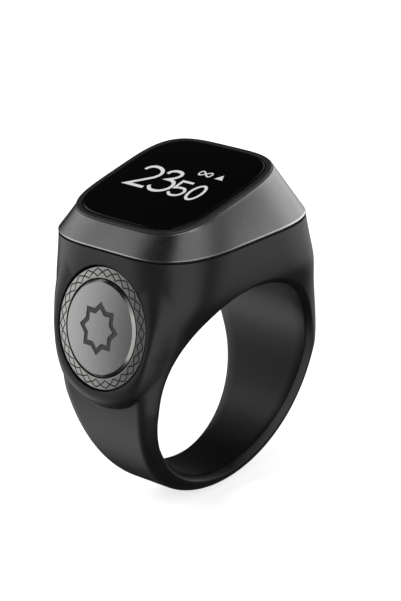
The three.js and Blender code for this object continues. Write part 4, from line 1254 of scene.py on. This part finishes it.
def smooth(points, steps=6):
    """A curve through the points, with no corner between the first and the last."""
    points = np.asarray(points, float)
    line = np.concatenate([2 * points[:1] - points[1:2], points, 2 * points[-1:] - points[-2:-1]])
    share = np.linspace(0, 1, steps, endpoint=False)[:, None]
    curve = []
    for a, b, c, d in zip(line, line[1:], line[2:], line[3:]):
        bend = (2 * a - 5 * b + 4 * c - d) * share**2 + (3 * b - a - 3 * c + d) * share**3
        curve.append(b + ((c - a) * share + bend) / 2)
    return np.concatenate(curve + [points[-1:]])


def endless(centre_x, centre_y, half_width, half_height):
    """A lying figure of eight."""
    turn = np.linspace(0, 2 * math.pi, 49)[:-1]
    return np.stack([centre_x + half_width * np.sin(turn), centre_y + half_height * np.sin(2 * turn)], 1)


# Middle lines of the signs, in the display's plane: to the right and up from its middle
TWO_BOWL = [
    (-4.69, 1.0), (-4.56, 1.42), (-4.08, 1.74), (-3.36, 1.72), (-2.68, 1.36), (-2.4, 0.76), (-2.62, 0.12),
]
TWO_FOOT = [(-3.5, -0.69), (-4.66, -1.72), (-2.4, -1.72)]
THREE_TOP = [
    (-1.84, 1.16), (-1.74, 1.54), (-1.36, 1.8), (-0.76, 1.83), (-0.3, 1.6), (-0.22, 1.14), (-0.56, 0.66),
]
THREE_TOP += [(-1.02, 0.32)]
THREE_BOWL = [
    (-1.02, 0.32), (-0.56, 0.3), (0, 0.06), (0.3, -0.42), (0.26, -1.04), (-0.2, -1.56), (-0.84, -1.8),
]
THREE_BOWL += [(-1.56, -1.7), (-2.08, -1.2)]
FIVE_TOP = [(2.12, 0.62), (0.76, 0.62)]
FIVE_BOWL = [
    (0.76, -0.6), (1.34, -0.44), (1.98, -0.5), (2.3, -0.94), (2.16, -1.46), (1.74, -1.76), (1.14, -1.78),
]
FIVE_BOWL += [(0.68, -1.42)]

two = np.concatenate([smooth(TWO_BOWL), TWO_FOOT])
three = np.concatenate([smooth(THREE_TOP), smooth(THREE_BOWL)[1:]])
five = np.concatenate([FIVE_TOP, smooth(FIVE_BOWL)])
nought = arc(3.55, -0.6, 0.7, 1.22, 0, 360, 40)[:-1]
sign_piece("display_hours", [(two, STROKE, False), (three, STROKE, False)])
sign_piece("display_minutes", [(five, SMALL_STROKE, False), (nought, SMALL_STROKE, True)])
sign_piece(
    "display_marks",
    [(endless(1.95, 2.48, 0.76, 0.34), MARK_STROKE, True)],
    [[(3.4, 2.1), (4.4, 2.1), (3.92, 2.9)]],
)

# Floor and light

FLOOR_REACH = 3000
FLOOR_HEIGHT = -11.79
WHITE_HELP = 0.72
LIGHT_TARGET = (0, 0, 6)
ROOM_LIGHT = 0.4

# White walls that metal and gloss reflect, with dark gaps between them. Each has the azimuth of its
# middle from +X, half its width and its soft margin, then the elevations at which it starts, is full,
# begins to fade and ends, all in degrees, and last its brightness, where 1 is white
WALLS = [
    (110, 10, 24, (-57, -38, 34, 48), 1.45),
    (176, 14, 14, (-60, -35, 18, 42), 0.25),
    (237, 29, 13, (-55, -36, 30, 50), 1.55),
    (252, 38, 28, (20, 42, 72, 88), 0.72),
    (318, 12, 14, (-45, -25, -5, 12), 0.6),
    (347, 18, 34, (-34, 2, 12, 34), 2.1),
    (0, 16, 16, (24, 40, 72, 88), 0.7),
    (80, 25, 20, (62, 72, 80, 88), 0.6),
]
GAP_GLEAM = 0.03


def seen(tree, *rays):
    """1 for the given kinds of ray, 0 for the others."""
    path = add(tree, "ShaderNodeLightPath")
    total = path.outputs[rays[0]]
    for ray in rays[1:]:
        total = add(tree, "ShaderNodeMath", {0: total, 1: path.outputs[ray]}, operation="MAXIMUM").outputs[0]
    return total


def make_floor():
    far = FLOOR_REACH
    corners = [(-far, -far), (far, -far), (far, far), (-far, far)]
    floor = make_piece("floor", [(x, y, FLOOR_HEIGHT) for x, y in corners], [[0, 1, 2, 3]])
    # white paper sheet, matte; its help keeps it white to the eye, and the shadow stays
    material, tree, shader = finish_of("white_paper", "#f4f4f4", roughness=0.9, Specular_IOR_Level=0)
    shader.inputs["Emission Color"].default_value = (1, 1, 1, 1)
    white = seen(tree, "Is Camera Ray", "Is Transmission Ray")
    help_white = add(tree, "ShaderNodeMath", {0: white, 1: WHITE_HELP}, operation="MULTIPLY")
    tree.links.new(help_white.outputs[0], shader.inputs["Emission Strength"])
    floor.data.materials.append(material)
    floor.visible_glossy = False


def make_world():
    """White behind the ring; white walls for its reflections; soft grey light for the rest."""
    world = bpy.data.worlds.new("studio")
    bpy.context.scene.world = world
    world.use_nodes = True
    world.cycles.sampling_method = "NONE"
    tree = world.node_tree
    background = tree.nodes["Background"]
    background.inputs["Color"].default_value = (1, 1, 1, 1)
    direction = add(tree, "ShaderNodeTexCoord").outputs["Generated"]
    height = add(tree, "ShaderNodeSeparateXYZ", {0: direction}).outputs["Z"]
    level = add(tree, "ShaderNodeVectorMath", {0: direction, 1: (1, 1, 0)}, operation="MULTIPLY").outputs[0]
    level = add(tree, "ShaderNodeVectorMath", {0: level}, operation="NORMALIZE").outputs[0]
    gleam = GAP_GLEAM
    for azimuth, half_width, margin, rises, brightness in WALLS:
        turn = math.radians(azimuth)
        links = {0: level, 1: (math.cos(turn), math.sin(turn), 0)}
        facing = add(tree, "ShaderNodeVectorMath", links, operation="DOT_PRODUCT").outputs["Value"]
        far = math.cos(math.radians(half_width + margin))
        near = math.cos(math.radians(half_width))
        start, full, fading, end = (math.sin(math.radians(rise)) for rise in rises)
        wall = brightness
        for source, none, whole in ((facing, far, near), (height, start, full), (height, end, fading)):
            links = {"Value": source, "From Min": none, "From Max": whole}
            share = add(tree, "ShaderNodeMapRange", links).outputs[0]
            wall = add(tree, "ShaderNodeMath", {0: wall, 1: share}, operation="MULTIPLY").outputs[0]
        gleam = add(tree, "ShaderNodeMath", {0: gleam, 1: wall}, operation="ADD").outputs[0]
    glossy = seen(tree, "Is Glossy Ray")
    white = seen(tree, "Is Camera Ray", "Is Transmission Ray")
    first = add(tree, "ShaderNodeMix", {0: glossy, 2: ROOM_LIGHT, 3: gleam}, data_type="FLOAT")
    second = add(tree, "ShaderNodeMix", {0: white, 2: first.outputs[0], 3: 1.0}, data_type="FLOAT")
    tree.links.new(second.outputs[0], background.inputs["Strength"])


# Softboxes: azimuth from +X and elevation in degrees, distance, width and height in mm, and
# brightness, where 1 is white
SOFTBOXES = {
    "left_key": (128, 26, 110, 70, 60, 2.85),
    "front_right": (276, 27, 300, 90, 120, 1.2),
    "right_rim": (22, 6, 260, 130, 110, 3),
}


def make_softbox(name, azimuth, elevation, distance, width, height, brightness):
    turn = math.radians(azimuth)
    rise = math.radians(elevation)
    toward = Vector((math.cos(turn) * math.cos(rise), math.sin(turn) * math.cos(rise), math.sin(rise)))
    data = bpy.data.lights.new(name, "AREA")
    data.shape = "RECTANGLE"
    data.size = width * MM
    data.size_y = height * MM
    data.energy = brightness * math.pi * data.size * data.size_y
    lamp = bpy.data.objects.new(name, data)
    place = (Vector(LIGHT_TARGET) + toward * distance) * MM
    lamp.matrix_world = Matrix.Translation(place) @ toward.to_track_quat("Z", "Y").to_matrix().to_4x4()
    lamp.visible_camera = False
    lamp.visible_glossy = False
    bpy.context.scene.collection.objects.link(lamp)


make_floor()
make_world()
for softbox, settings in SOFTBOXES.items():
    make_softbox(softbox, *settings)

bpy.context.scene.view_settings.view_transform = "Standard"
